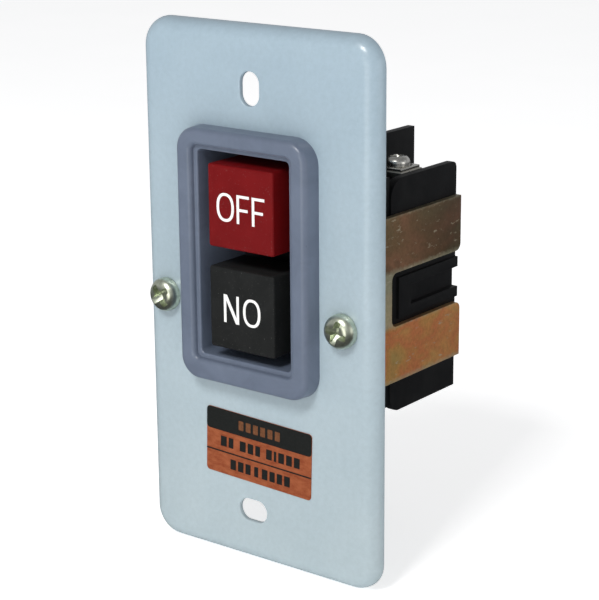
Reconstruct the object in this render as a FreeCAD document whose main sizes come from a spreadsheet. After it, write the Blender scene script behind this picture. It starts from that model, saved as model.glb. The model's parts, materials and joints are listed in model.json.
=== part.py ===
import FreeCAD, Part
import math
import os
import re
import Sketcher

# Flush push-button motor starter: a pressed wall plate in front of a three-pole switch.
# X runs to the right, Y into the wall and Z up, in millimetres. The origin is midway between the
# two fixing slots, in the plane where the plate's rim rests on the wall. Everything that belongs
# to the switch is drawn about the switch's own centre line and then moved down by axis_z as one.

V = FreeCAD.Vector
doc = FreeCAD.newDocument("motor_starter")
sheet = doc.addObject("Spreadsheet::Sheet", "dims")

DIMENSIONS = {
    # wall plate: pressed sheet steel with a softly rolled edge
    "plate_width": 55.6,
    "plate_height": 106.0,
    "plate_x": 0.8,
    "plate_z": 0.5,
    "plate_rise": 3.4,
    "plate_sheet": 1.0,
    "plate_corner": 5.8,
    "plate_roll": 3.0,
    "fixing_pitch": 83.5,
    "upper_slot_width": 4.5,
    "upper_slot_length": 6.5,
    "lower_slot_width": 4.5,
    "lower_slot_length": 6.8,
    "lower_slot_x": -0.6,
    "plate_screw_x": 21.4,
    "plate_screw_z": -0.6,
    "plate_screw_hole": 2.2,
    # rating label on the plate
    "label_width": 26.0,
    "label_height": 13.5,
    "label_sheet": 0.15,
    "label_corner": 0.8,
    "label_x": 1.0,
    "label_z": -29.1,
    "label_tilt": 1.8,
    # the switch's centre line, which is the ON button's, on the plate
    "axis_z": -0.25,
    "button_pitch": 19.8,
    # bezel: raised frame with a sleeve that runs back to the case
    "bezel_width": 32.0,
    "bezel_height": 49.9,
    "bezel_corner": 5.0,
    "bezel_z": 9.35,
    "bezel_rise": 3.6,
    "bezel_front_width": 30.8,
    "bezel_front_height": 49.4,
    "bezel_front_corner": 4.2,
    "bezel_edge": 0.7,
    "mouth_width": 23.6,
    "mouth_height": 42.0,
    "mouth_corner": 1.2,
    "mouth_step": 1.2,
    "well_width": 21.8,
    "well_height": 40.2,
    "well_corner": 0.9,
    "sleeve_width": 24.6,
    "sleeve_height": 43.0,
    "sleeve_corner": 2.2,
    "window_width": 25.0,
    "window_height": 43.4,
    "window_corner": 2.4,
    # button caps, hollow from behind
    "cap_width": 15.6,
    "cap_height": 16.0,
    "cap_front": -6.6,
    "cap_rear": 3.6,
    "cap_edge": 0.4,
    "cap_wall": 1.3,
    "cap_face": 1.6,
    "boss_radius": 4.0,
    "boss_rear": 1.0,
    "socket_front": -4.0,
    # plungers
    "stem_radius": 2.5,
    "shoulder_y": 10.05,
    "shoulder_radius": 4.0,
    "spigot_radius": 1.5,
    "spigot_rear": 22.0,
    "wedge_rear": 13.8,
    "wedge_low_front": 14.9,
    "wedge_low_rear": 17.4,
    "wedge_top": 22.3,
    "wedge_half": 2.5,
    # mechanism case
    "case_half": 17.2,
    "case_front": 8.0,
    "case_wall": 1.6,
    "case_face": 2.0,
    "case_top": 24.0,
    "case_bottom": -22.0,
    "apron_half": 12.8,
    "apron_top": 31.8,
    "stem_bore": 2.6,
    "post_x": 12.6,
    "post_z": 17.4,
    "post_radius": 3.3,
    # latch plate, the pads and ribs that guide it, and its spring
    "latch_front": 12.6,
    "latch_sheet": 1.2,
    "latch_half": 8.0,
    "latch_bottom": -9.0,
    "latch_shoulder": 12.0,
    "latch_top": 16.5,
    "latch_tongue_half": 4.0,
    "latch_eye": 4.25,
    "latch_eye_rise": 2.2,
    "latch_slot_half": 2.75,
    "latch_slot_bottom": -6.5,
    "latch_tab_front": 10.6,
    "latch_tab_rear": 15.8,
    "latch_clear": 0.1,
    "pad_near": 5.0,
    "pad_far": 7.6,
    "pad_low": -3.0,
    "rib_near": 8.2,
    "rib_far": 9.6,
    "rib_low": -6.0,
    "rib_high": 14.0,
    "rib_rear": 14.4,
    "stub_radius": 1.6,
    "stub_height": 2.0,
    # contact base: one moulding with three chambers and two rows of terminals
    "body_half": 17.6,
    "base_front": 17.2,
    "body_rear": 39.9,
    "base_half_z": 23.4,
    "base_corner_top": 4.0,
    "base_corner_bottom": 3.0,
    "base_corner_rear": 1.3,
    "side_wall": 1.6,
    "shelf_line": 22.1,
    "shelf_load": 20.9,
    "barrier_near": 5.8,
    "barrier_far": 7.4,
    "barrier_line": 29.3,
    "barrier_load": 25.0,
    "wire_well_front": 32.2,
    "wire_well_floor": 19.4,
    "chamber_half_z": 14.0,
    "chamber_rear": 36.0,
    "beam_gap_half": 4.2,
    "beam_gap_rear": 28.6,
    "fin_low": 6.0,
    "fin_high": 11.0,
    # moulded rib round a slot on each side of the base
    "side_rib_x": 18.2,
    "side_rib_z": -0.25,
    "side_rib_half": 4.15,
    "side_rib_front": 19.2,
    "side_slot_front": 23.4,
    "side_slot_half": 2.05,
    "side_slot_floor": 16.9,
    # steel brackets
    "bracket_sheet": 1.2,
    "band_near": 5.4,
    "band_far": 16.6,
    "web_rear": 16.0,
    "ear_x": 24.6,
    "ear_half_z": 6.0,
    "lug_x": 15.0,
    "lug_low": 8.0,
    "lug_high": 14.0,
    "lance_rear": 10.6,
    "bend_inner": 0.5,
    "band_corner": 1.5,
    # poles, conductors and contacts
    "pole_pitch": 11.7,
    "strip_half": 3.5,
    "strip_sheet": 1.2,
    "strip_front": 24.0,
    "strip_bend": 31.2,
    "strip_run": 16.3,
    "strip_foot": 5.5,
    "terminal_y": 27.6,
    "tip_z": 9.0,
    "tip_radius": 2.0,
    "fixed_tip": 1.6,
    "moving_tip": 0.8,
    "bridge_front": 28.2,
    "bridge_sheet": 1.2,
    "bridge_half": 2.9,
    "bridge_half_z": 11.0,
    # contact carrier
    "beam_front": 20.0,
    "beam_rear": 23.6,
    "beam_half": 15.4,
    "beam_half_z": 3.6,
    "cheek_near": 3.05,
    "cheek_far": 3.95,
    "cheek_half_z": 2.4,
    "cheek_rear": 30.9,
    "fit_gap": 0.05,
    # fasteners
    "m_four": 2.0,
    "m_four_head": 3.3,
    "m_four_head_height": 2.6,
    "m_four_length": 8.0,
    "m_four_soft": 1.6,
    "m_four_recess": 1.9,
    "m_four_recess_half": 0.5,
    "m_four_recess_deep": 1.5,
    "m_three": 1.5,
    "m_three_head": 2.6,
    "m_three_head_height": 1.9,
    "m_three_length": 8.0,
    "m_three_soft": 1.0,
    "m_three_bore": 1.7,
    "m_three_recess": 1.4,
    "m_three_recess_half": 0.4,
    "m_three_recess_deep": 1.0,
    "clamp_half": 3.2,
    "clamp_sheet": 0.6,
    "case_screw": 1.3,
    "case_screw_head": 2.3,
    "case_screw_seat": 9.7,
    "case_screw_end": 24.8,
    "case_screw_slot_half": 0.3,
    "case_screw_slot_deep": 0.9,
    # springs: mean radius and wire radius
    "button_spring": 4.75,
    "button_wire": 0.4,
    "button_spring_pitch": 2.2,
    "contact_spring": 1.9,
    "contact_wire": 0.25,
    "contact_spring_pitch": 1.05,
    "latch_spring": 2.4,
    "latch_wire": 0.3,
    "latch_spring_pitch": 1.6,
}

for row, (alias, value) in enumerate(DIMENSIONS.items(), start=1):
    sheet.set(f"A{row}", str(value))
    sheet.setAlias(f"A{row}", alias)
doc.recompute()

SIDES = (1, -1)
POLES = (-1, 0, 1)
ROWS = (("line", 1), ("load", -1))
PAST = 1.0                     # how far a cutting block runs past the face it opens
subparts = []


# ---------------------------------------------------------------- helpers

def bound(text):
    """Turns plain dimension names into references to the sheet."""
    return re.sub(r"\b[a-z]\w*", r"dims.\g<0>", str(text))


def size(alias):
    return float(sheet.get(alias))


def span(side, low, high):
    """The range low to high, or its mirror image for side -1."""
    if side > 0:
        return (low, high)
    return (f"-({high})", f"-({low})")


def about(centre, half):
    return (f"{centre} - {half}", f"{centre} + {half}")


def block(name, xs, ys, zs):
    solid = doc.addObject("Part::Box", name)
    for edge, axis, (low, high) in (("Length", "x", xs), ("Width", "y", ys), ("Height", "z", zs)):
        solid.setExpression(edge, bound(f"({high}) - ({low})"))
        solid.setExpression(f"Placement.Base.{axis}", bound(low))
    return solid


TURNS = {
    "x": FreeCAD.Rotation(V(0, 1, 0), 90),
    "y": FreeCAD.Rotation(V(1, 0, 0), -90),
    "z": FreeCAD.Rotation(),
}


def rod(name, along, radius, ends, at):
    """A cylinder along one axis; at gives its place on the other two."""
    solid = doc.addObject("Part::Cylinder", name)
    solid.Placement = FreeCAD.Placement(V(), TURNS[along])
    solid.setExpression("Radius", bound(radius))
    solid.setExpression("Height", bound(f"({ends[1]}) - ({ends[0]})"))
    for axis, place in {**at, along: ends[0]}.items():
        solid.setExpression(f"Placement.Base.{axis}", bound(place))
    return solid


def joined(name, solids):
    whole = doc.addObject("Part::MultiFuse", name)
    whole.Shapes = solids
    whole.Refine = True
    return whole


def less(name, base, tools):
    rest = doc.addObject("Part::Cut", name)
    rest.Base = base
    rest.Tool = tools[0] if len(tools) == 1 else joined(f"{name}_tools", tools)
    rest.Refine = True
    return rest


def rounded(name, base, radius, wanted):
    """Rounds the edges that wanted(edge) picks; the radius is a name from the sheet."""
    doc.recompute()
    soft = doc.addObject("Part::Fillet", name)
    soft.Base = base
    picked = [i for i, edge in enumerate(base.Shape.Edges, start=1) if wanted(edge)]
    soft.Edges = [(i, size(radius), size(radius)) for i in picked]
    return soft


def edge_at(**place):
    """Picks the edges whose middle has the given coordinates."""
    def wanted(edge):
        middle = edge.CenterOfMass
        return all(abs(getattr(middle, axis) - value) < 0.01 for axis, value in place.items())
    return wanted


def round_edge_at(axis, value):
    """Picks the circular edges that lie at one place along an axis."""
    def wanted(edge):
        on_level = abs(getattr(edge.CenterOfMass, axis) - value) < 0.01
        return on_level and isinstance(edge.Curve, Part.Circle)
    return wanted


def subpart(label, solids):
    """A finished piece of the switch: its solids as one object, moved to the switch's centre line."""
    whole = doc.addObject("Part::Compound", label)
    whole.Links = solids
    whole.Label = label
    whole.setExpression("Placement.Base.z", bound("axis_z"))
    subparts.append(whole)
    return whole


def sketch_on(body, name, depth):
    """A sketch parallel to XZ at Y = depth; its own x and y run along X and Z."""
    plane = next(o for o in body.Origin.OriginFeatures if o.Role == "XZ_Plane")
    sketch = body.newObject("Sketcher::SketchObject", name)
    sketch.AttachmentSupport = [(plane, "")]
    sketch.MapMode = "FlatFace"
    sketch.setExpression("AttachmentOffset.Base.z", bound(f"-({depth})"))
    return sketch


def set_size(sketch, kind, places, value):
    index = sketch.addConstraint(Sketcher.Constraint(kind, *places, 1.0))
    sketch.setExpression(f"Constraints[{index}]", bound(value))


def draw_rounded(sketch, width, height, radius, x="0", z="0"):
    """A rectangle with round corners, centred on x and z."""
    quarter = math.pi / 2
    first = sketch.GeometryCount
    corners = ((1, -1), (1, 1), (-1, 1), (-1, -1))
    for turn, (side_x, side_z) in enumerate(corners):
        ahead_x, ahead_z = corners[turn - 1]
        start = V(4 * ahead_x + side_x, 4 * ahead_z + side_z, 0)
        end = V(4 * side_x + ahead_x, 4 * side_z + ahead_z, 0)
        sketch.addGeometry(Part.LineSegment(start, end), False)
        circle = Part.Circle(V(4 * side_x, 4 * side_z, 0), V(0, 0, 1), 1)
        angle = (turn - 1) * quarter
        sketch.addGeometry(Part.ArcOfCircle(circle, angle, angle + quarter), False)
    for i in range(8):
        here = first + i
        following = first + (i + 1) % 8
        sketch.addConstraint(Sketcher.Constraint("Tangent", here, 2, following, 1))
    for i in (3, 5, 7):
        sketch.addConstraint(Sketcher.Constraint("Equal", first + 1, first + i))
    for i in (0, 4):
        sketch.addConstraint(Sketcher.Constraint("Horizontal", first + i))
    for i in (2, 6):
        sketch.addConstraint(Sketcher.Constraint("Vertical", first + i))
    set_size(sketch, "Radius", (first + 1,), radius)
    set_size(sketch, "DistanceX", (first + 6, 1, first + 2, 1), width)
    set_size(sketch, "DistanceY", (first, 1, first + 4, 1), height)
    set_size(sketch, "DistanceX", (-1, 1, first + 2, 1), f"{x} + {width} / 2")
    set_size(sketch, "DistanceY", (-1, 1, first + 4, 1), f"{z} + {height} / 2")


def draw_circle(sketch, x, z, radius):
    circle = sketch.addGeometry(Part.Circle(V(1, 1, 0), V(0, 0, 1), 1), False)
    set_size(sketch, "Radius", (circle,), radius)
    set_size(sketch, "DistanceX", (-1, 1, circle, 3), x)
    set_size(sketch, "DistanceY", (-1, 1, circle, 3), z)


def pad(body, name, sketch, length, backwards=False):
    feature = body.newObject("PartDesign::Pad", name)
    feature.Profile = sketch
    feature.setExpression("Length", bound(length))
    feature.Reversed = backwards
    return feature


def pocket_through(body, name, sketch):
    feature = body.newObject("PartDesign::Pocket", name)
    feature.Profile = sketch
    feature.Type = "ThroughAll"
    feature.Midplane = True
    return feature


def face_at(shape, y):
    """The name of the planar face square to Y at the given depth."""
    for i, face in enumerate(shape.Faces, start=1):
        box = face.BoundBox
        if box.YLength < 0.001 and abs(box.YMin - y) < 0.001:
            return f"Face{i}"
    raise ValueError("no face there")


def coil(name, along, mean_radius, wire, pitch, ends, at):
    """A helical compression spring between two seats, a wire's width clear of each."""
    spine = doc.addObject("Part::Helix", f"{name}_spine")
    spine.setExpression("Radius", bound(mean_radius))
    spine.setExpression("Pitch", bound(pitch))
    spine.setExpression("Height", bound(f"({ends[1]}) - ({ends[0]}) - 4 * {wire}"))
    section = doc.addObject("Part::Circle", f"{name}_wire")
    section.setExpression("Radius", bound(wire))
    section.Placement = FreeCAD.Placement(V(), FreeCAD.Rotation(V(1, 0, 0), 90))
    section.setExpression("Placement.Base.x", bound(mean_radius))
    spring = doc.addObject("Part::Sweep", name)
    spring.Sections = [section]
    spring.Spine = (spine, ["Edge1"])
    spring.Solid = True
    spring.Frenet = True
    spring.Placement = FreeCAD.Placement(V(), TURNS[along])
    for axis, place in {**at, along: f"{ends[0]} + 2 * {wire}"}.items():
        spring.setExpression(f"Placement.Base.{axis}", bound(place))
    return spring


def pole_x(pole):
    return f"{pole} * pole_pitch"


# ---------------------------------------------------------------- wall plate and its label

def make_face_plate():
    body = doc.addObject("PartDesign::Body", "face_plate")
    outline = sketch_on(body, "plate_outline", "0")
    draw_rounded(outline, "plate_width", "plate_height", "plate_corner", x="plate_x", z="plate_z")
    slab = pad(body, "plate_slab", outline, "plate_rise")
    doc.recompute()
    roll = body.newObject("PartDesign::Fillet", "plate_rolled_edge")
    roll.Base = (slab, [face_at(slab.Shape, -size("plate_rise"))])
    roll.setExpression("Radius", bound("plate_roll"))
    doc.recompute()
    shell = body.newObject("PartDesign::Thickness", "plate_shell")
    shell.Base = (roll, [face_at(roll.Shape, 0.0)])
    shell.setExpression("Value", bound("plate_sheet"))
    shell.Reversed = True
    doc.recompute()
    holes = sketch_on(body, "plate_holes", "0")
    draw_rounded(
        holes, "window_width", "window_height", "window_corner", z="axis_z + button_pitch / 2",
    )
    draw_rounded(
        holes, "upper_slot_width", "upper_slot_length", "upper_slot_width / 2 - 0.0001",
        z="fixing_pitch / 2",
    )
    draw_rounded(
        holes, "lower_slot_length", "lower_slot_width", "lower_slot_width / 2 - 0.0001",
        x="lower_slot_x", z="-fixing_pitch / 2",
    )
    for side in SIDES:
        draw_circle(holes, f"{side} * plate_screw_x", "axis_z + plate_screw_z", "plate_screw_hole")
    pocket_through(body, "plate_openings", holes)
    subparts.append(body)


def make_rating_label():
    body = doc.addObject("PartDesign::Body", "rating_label")
    outline = sketch_on(body, "label_outline", "-plate_rise")
    draw_rounded(outline, "label_width", "label_height", "label_corner")
    pad(body, "label_foil", outline, "label_sheet")
    body.Placement = FreeCAD.Placement(V(), FreeCAD.Rotation(V(0, 1, 0), size("label_tilt")))
    body.setExpression("Placement.Base.x", bound("label_x"))
    body.setExpression("Placement.Base.z", bound("label_z"))
    subparts.append(body)


# ---------------------------------------------------------------- bezel

def make_bezel():
    body = doc.addObject("PartDesign::Body", "bezel")
    middle = "button_pitch / 2"
    outline = sketch_on(body, "bezel_outline", "-plate_rise")
    draw_rounded(outline, "bezel_width", "bezel_height", "bezel_corner", z="bezel_z")
    front = sketch_on(body, "bezel_front", "-plate_rise - bezel_rise")
    draw_rounded(front, "bezel_front_width", "bezel_front_height", "bezel_front_corner", z="bezel_z")
    frame = body.newObject("PartDesign::AdditiveLoft", "bezel_frame")
    frame.Profile = outline
    frame.Sections = [front]
    frame.Ruled = True
    doc.recompute()
    front_y = -size("plate_rise") - size("bezel_rise")
    soft = body.newObject("PartDesign::Fillet", "bezel_soft_edge")
    soft.Base = (frame, [face_at(frame.Shape, front_y)])
    soft.setExpression("Radius", bound("bezel_edge"))
    doc.recompute()
    tube = sketch_on(body, "sleeve_outline", "-plate_rise")
    draw_rounded(tube, "sleeve_width", "sleeve_height", "sleeve_corner", z=middle)
    pad(body, "bezel_sleeve", tube, "plate_rise + case_front", backwards=True)
    doc.recompute()
    well = sketch_on(body, "well_outline", "0")
    draw_rounded(well, "well_width", "well_height", "well_corner", z=middle)
    pocket_through(body, "bezel_well", well)
    doc.recompute()
    mouth = sketch_on(body, "mouth_outline", "-plate_rise - bezel_rise")
    draw_rounded(mouth, "mouth_width", "mouth_height", "mouth_corner", z=middle)
    step = body.newObject("PartDesign::Pocket", "bezel_mouth")
    step.Profile = mouth
    step.setExpression("Length", bound("mouth_step"))
    body.setExpression("Placement.Base.z", bound("axis_z"))
    subparts.append(body)


# ---------------------------------------------------------------- buttons and plungers

def make_button(label, z):
    half_width = "cap_width / 2"
    half_height = "cap_height / 2"
    cavity_half = f"({half_width} - cap_wall)"
    cavity_half_z = f"({half_height} - cap_wall)"
    cap_depth = ("cap_front", "cap_rear")
    cap = block(f"{label}_cap", about("0", half_width), cap_depth, about(z, half_height))
    cap = rounded(f"{label}_soft", cap, "cap_edge", lambda edge: edge.CenterOfMass.y < size("cap_rear") - 0.1)
    inside_depth = ("cap_front + cap_face", f"cap_rear + {PAST}")
    inside = block(f"{label}_inside", about("0", cavity_half), inside_depth, about(z, cavity_half_z))
    centre = {"x": "0", "z": z}
    boss = rod(f"{label}_boss", "y", "boss_radius", ("cap_front + cap_face / 2", "boss_rear"), centre)
    socket = rod(f"{label}_socket", "y", "stem_radius", ("socket_front", f"boss_rear + {PAST}"), centre)
    shell = less(f"{label}_shell", cap, [inside])
    subpart(label, [less(f"{label}_solid", joined(f"{label}_whole", [shell, boss]), [socket])])


def make_on_plunger():
    centre = {"x": "0", "z": "0"}
    stem = rod("on_stem", "y", "stem_radius", ("socket_front", "shoulder_y"), centre)
    shoulder = rod("on_shoulder", "y", "shoulder_radius", ("shoulder_y", "beam_front"), centre)
    spigot = rod("on_spigot", "y", "spigot_radius", ("beam_front", "spigot_rear"), centre)
    subpart("on_plunger", [joined("on_plunger_solid", [stem, shoulder, spigot])])


def make_off_plunger():
    centre = {"x": "0", "z": "button_pitch"}
    stem = rod("off_stem", "y", "stem_radius", ("socket_front", "shoulder_y"), centre)
    wedge = doc.addObject("Part::Wedge", "off_wedge")
    corners = {
        "Xmin": "-wedge_half", "Xmax": "wedge_half", "X2min": "-wedge_half", "X2max": "wedge_half",
        "Ymin": "shoulder_y", "Ymax": "wedge_rear",
        "Zmin": "wedge_low_front", "Zmax": "wedge_top", "Z2min": "wedge_low_rear", "Z2max": "wedge_top",
    }
    for corner in ("Xmax", "X2max", "Ymax", "Zmax", "Z2max", "Xmin", "X2min", "Ymin", "Zmin", "Z2min"):
        wedge.setExpression(corner, bound(corners[corner]))
    subpart("off_plunger", [joined("off_plunger_solid", [stem, wedge])])


# ---------------------------------------------------------------- mechanism case

def corner_places():
    return [(side, row) for side in SIDES for row in SIDES]


def make_mechanism_case():
    depth = ("case_front", "base_front")
    inner_front = "(case_front + case_face)"
    outer = block("case_outer", about("0", "case_half"), depth, ("case_bottom", "case_top"))
    inner = block(
        "case_inner", about("0", "(case_half - case_wall)"), (inner_front, f"base_front + {PAST}"),
        ("case_bottom + case_wall", "case_top - case_wall"),
    )
    apron = block(
        "case_apron", about("0", "apron_half"), ("case_front", inner_front), ("case_top - 1", "apron_top"),
    )
    solids = [less("case_shell", outer, [inner]), apron]
    tools = []
    for side, row in corner_places():
        name = f"case_post_{side}_{row}".replace("-1", "b").replace("1", "a")
        place = {"x": f"{side} * post_x", "z": f"{row} * post_z"}
        solids.append(rod(name, "y", "post_radius", (f"{inner_front} - 0.5", "base_front"), place))
        tools.append(rod(f"{name}_hole", "y", "case_screw", ("case_front", f"base_front + {PAST}"), place))
        seat = (f"case_front - {PAST}", "case_screw_seat")
        tools.append(rod(f"{name}_seat", "y", "case_screw_head + latch_clear", seat, place))
    for side in SIDES:
        name = "right" if side > 0 else "left"
        pad_depth = (f"{inner_front} - 0.5", "latch_front - latch_clear")
        pad_height = ("pad_low", "latch_shoulder")
        solids.append(block(f"case_pad_{name}", span(side, "pad_near", "pad_far"), pad_depth, pad_height))
        rib_depth = (f"{inner_front} - 0.5", "rib_rear")
        rib_height = ("rib_low", "rib_high")
        solids.append(block(f"case_rib_{name}", span(side, "rib_near", "rib_far"), rib_depth, rib_height))
    floor = "(case_bottom + case_wall)"
    latch_middle = "latch_front + latch_sheet / 2"
    stub_ends = (f"{floor} - 0.5", f"{floor} + stub_height")
    solids.append(rod("case_stub", "z", "stub_radius", stub_ends, {"x": "0", "y": latch_middle}))
    for name, z in (("on", "0"), ("off", "button_pitch")):
        through = (f"case_front - {PAST}", f"{inner_front} + {PAST}")
        tools.append(rod(f"case_bore_{name}", "y", "stem_bore", through, {"x": "0", "z": z}))
    subpart("mechanism_case", [less("case_solid", joined("case_whole", solids), tools)])


# ---------------------------------------------------------------- contact base

def strip_bends(name, pole, row, top, foot):
    """A conductor's three bent lengths behind its terminal: down, back and down again to the contact."""
    wide = about(pole_x(pole), "strip_half")
    drop_front = "strip_bend - strip_sheet"
    run_top = "strip_run + strip_sheet"
    leg_depth = ("chamber_rear - strip_sheet", "chamber_rear")
    return [
        block(f"{name}_drop", wide, (drop_front, "strip_bend"), span(row, "strip_run", top)),
        block(f"{name}_run", wide, (drop_front, "chamber_rear"), span(row, "strip_run", run_top)),
        block(f"{name}_leg", wide, leg_depth, span(row, foot, run_top)),
    ]


def make_contact_base():
    depth = ("base_front", "body_rear")
    past_depth = (f"base_front - {PAST}", f"body_rear + {PAST}")
    outer = block("base_outer", about("0", "body_half"), depth, about("0", "base_half_z"))
    front_y = size("base_front")
    half_z = size("base_half_z")
    outer = rounded("base_top_corner", outer, "base_corner_top", edge_at(x=0.0, y=front_y, z=half_z))
    outer = rounded("base_low_corner", outer, "base_corner_bottom", edge_at(x=0.0, y=front_y, z=-half_z))
    rear_y = size("body_rear")
    outer = rounded("base_rear_corner", outer, "base_corner_rear", edge_at(x=0.0, y=rear_y, z=half_z))
    inner_half = "(body_half - side_wall)"
    tools = []
    for row_name, row in ROWS:
        top = span(row, f"shelf_{row_name}", f"base_half_z + {PAST}")
        tools.append(block(f"base_shelf_{row_name}", about("0", inner_half), past_depth, top))
    solids = [less("base_block", outer, tools)]
    tools = []
    fine_rear = f"body_rear + {PAST}"
    for side in SIDES:
        name = "right" if side > 0 else "left"
        for row_name, row in ROWS:
            barrier = span(side, "barrier_near", "barrier_far")
            tall = span(row, f"shelf_{row_name} - 1", f"barrier_{row_name}")
            solids.append(block(f"barrier_{name}_{row_name}", barrier, ("base_front + 0.6", "body_rear"), tall))
            fin = span(row, "fin_low", "fin_high")
            fin_depth = ("latch_front + latch_sheet + latch_clear", "base_front + 1")
            solids.append(block(f"fin_{name}_{row_name}", barrier, fin_depth, fin))
            notch_depth = ("body_rear - bracket_sheet", fine_rear)
            notch_height = span(row, "lug_low - fit_gap", "lug_high + fit_gap")
            notch = span(side, "lug_x - fit_gap", f"body_half + {PAST}")
            tools.append(block(f"lug_notch_{name}_{row_name}", notch, notch_depth, notch_height))
            screw_at = {"x": f"{side} * post_x", "z": f"{row} * post_z"}
            hole = ("base_front - 1", "case_screw_end")
            tools.append(rod(f"case_screw_hole_{name}_{row_name}", "y", "case_screw", hole, screw_at))
        rib = span(side, "body_half - side_wall / 2", "side_rib_x")
        rib_height = about("side_rib_z", "side_rib_half")
        solids.append(block(f"side_rib_{name}", rib, ("side_rib_front", "body_rear"), rib_height))
        groove = span(side, "side_slot_floor", f"side_rib_x + {PAST}")
        groove_depth = ("side_slot_front", fine_rear)
        tools.append(block(f"side_slot_{name}", groove, groove_depth, about("side_rib_z", "side_slot_half")))
    chamber_depth = (f"base_front - {PAST}", "chamber_rear")
    for pole in POLES:
        name = "abc"[pole + 1]
        wide = span(pole, "barrier_far", inner_half) if pole else about("0", "barrier_near")
        tools.append(block(f"chamber_{name}", wide, chamber_depth, about("0", "chamber_half_z")))
        well_depth = ("wire_well_front", fine_rear)
        tools.append(block(f"wire_well_{name}", wide, well_depth, ("wire_well_floor", "barrier_line")))
        for row_name, row in ROWS:
            shelf = f"shelf_{row_name}"
            tools += strip_bends(f"slot_{name}_{row_name}", pole, row, f"{shelf} + {PAST}", "chamber_half_z - 1")
            place = {"x": pole_x(pole), "y": "terminal_y"}
            bore = span(row, "chamber_half_z - 1", f"{shelf} + {PAST}")
            tools.append(rod(f"screw_bore_{name}_{row_name}", "z", "m_three_bore", bore, place))
    gap_depth = (f"base_front - {PAST}", "beam_gap_rear")
    tools.append(block("beam_gap", about("0", inner_half), gap_depth, about("0", "beam_gap_half")))
    subpart("contact_base", [less("base_solid", joined("base_whole", solids), tools)])


# ---------------------------------------------------------------- steel brackets

def make_bracket(label, side):
    outer_x = "(body_half + bracket_sheet)"
    sheet_x = span(side, "body_half", outer_x)
    lug = span(side, "lug_x", f"{outer_x} - 0.1")
    solids = [
        block(f"{label}_side", sheet_x, ("plate_sheet - plate_rise", "body_rear"), about("0", "band_far")),
        block(
            f"{label}_ear", span(side, "body_half", "ear_x"),
            ("plate_sheet - plate_rise", "plate_sheet - plate_rise + bracket_sheet"), about("0", "ear_half_z"),
        ),
    ]
    past_sheet = span(side, f"body_half - {PAST}", f"{outer_x} + {PAST}")
    window_depth = ("web_rear", f"body_rear + {PAST}")
    tools = [
        block(f"{label}_window", past_sheet, window_depth, about("0", "band_near")),
        rod(
            f"{label}_thread", "y", "m_four", ("-plate_rise", "plate_rise"),
            {"x": f"{side} * plate_screw_x", "z": "plate_screw_z"},
        ),
    ]
    for row_name, row in ROWS:
        lug_height = span(row, "lug_low", "lug_high")
        tools.append(
            block(f"{label}_lance_{row_name}", past_sheet, ("case_front + fit_gap", "lance_rear"), lug_height)
        )
        front_lug = ("case_front - bracket_sheet", "case_front")
        solids.append(block(f"{label}_front_lug_{row_name}", lug, front_lug, lug_height))
        rear_lug = ("body_rear - bracket_sheet", "body_rear")
        solids.append(block(f"{label}_rear_lug_{row_name}", lug, rear_lug, lug_height))
    shape = less(f"{label}_cut", joined(f"{label}_whole", solids), tools)
    middle_x = side * (size("body_half") + size("bracket_sheet") / 2)
    corners = (
        (size("body_rear"), size("band_near")), (size("body_rear"), -size("band_near")),
        (size("web_rear"), size("band_near")), (size("web_rear"), -size("band_near")),
    )
    shape = rounded(
        f"{label}_corners", shape, "band_corner",
        lambda edge: any(edge_at(x=middle_x, y=y, z=z)(edge) for y, z in corners),
    )
    ear_rear = size("plate_sheet") - size("plate_rise") + size("bracket_sheet")
    bend_x = side * (size("body_half") + size("bracket_sheet"))
    shape = rounded(f"{label}_bend", shape, "bend_inner", edge_at(x=bend_x, y=ear_rear, z=0.0))
    subpart(label, [shape])


# ---------------------------------------------------------------- conductors and contacts

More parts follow.
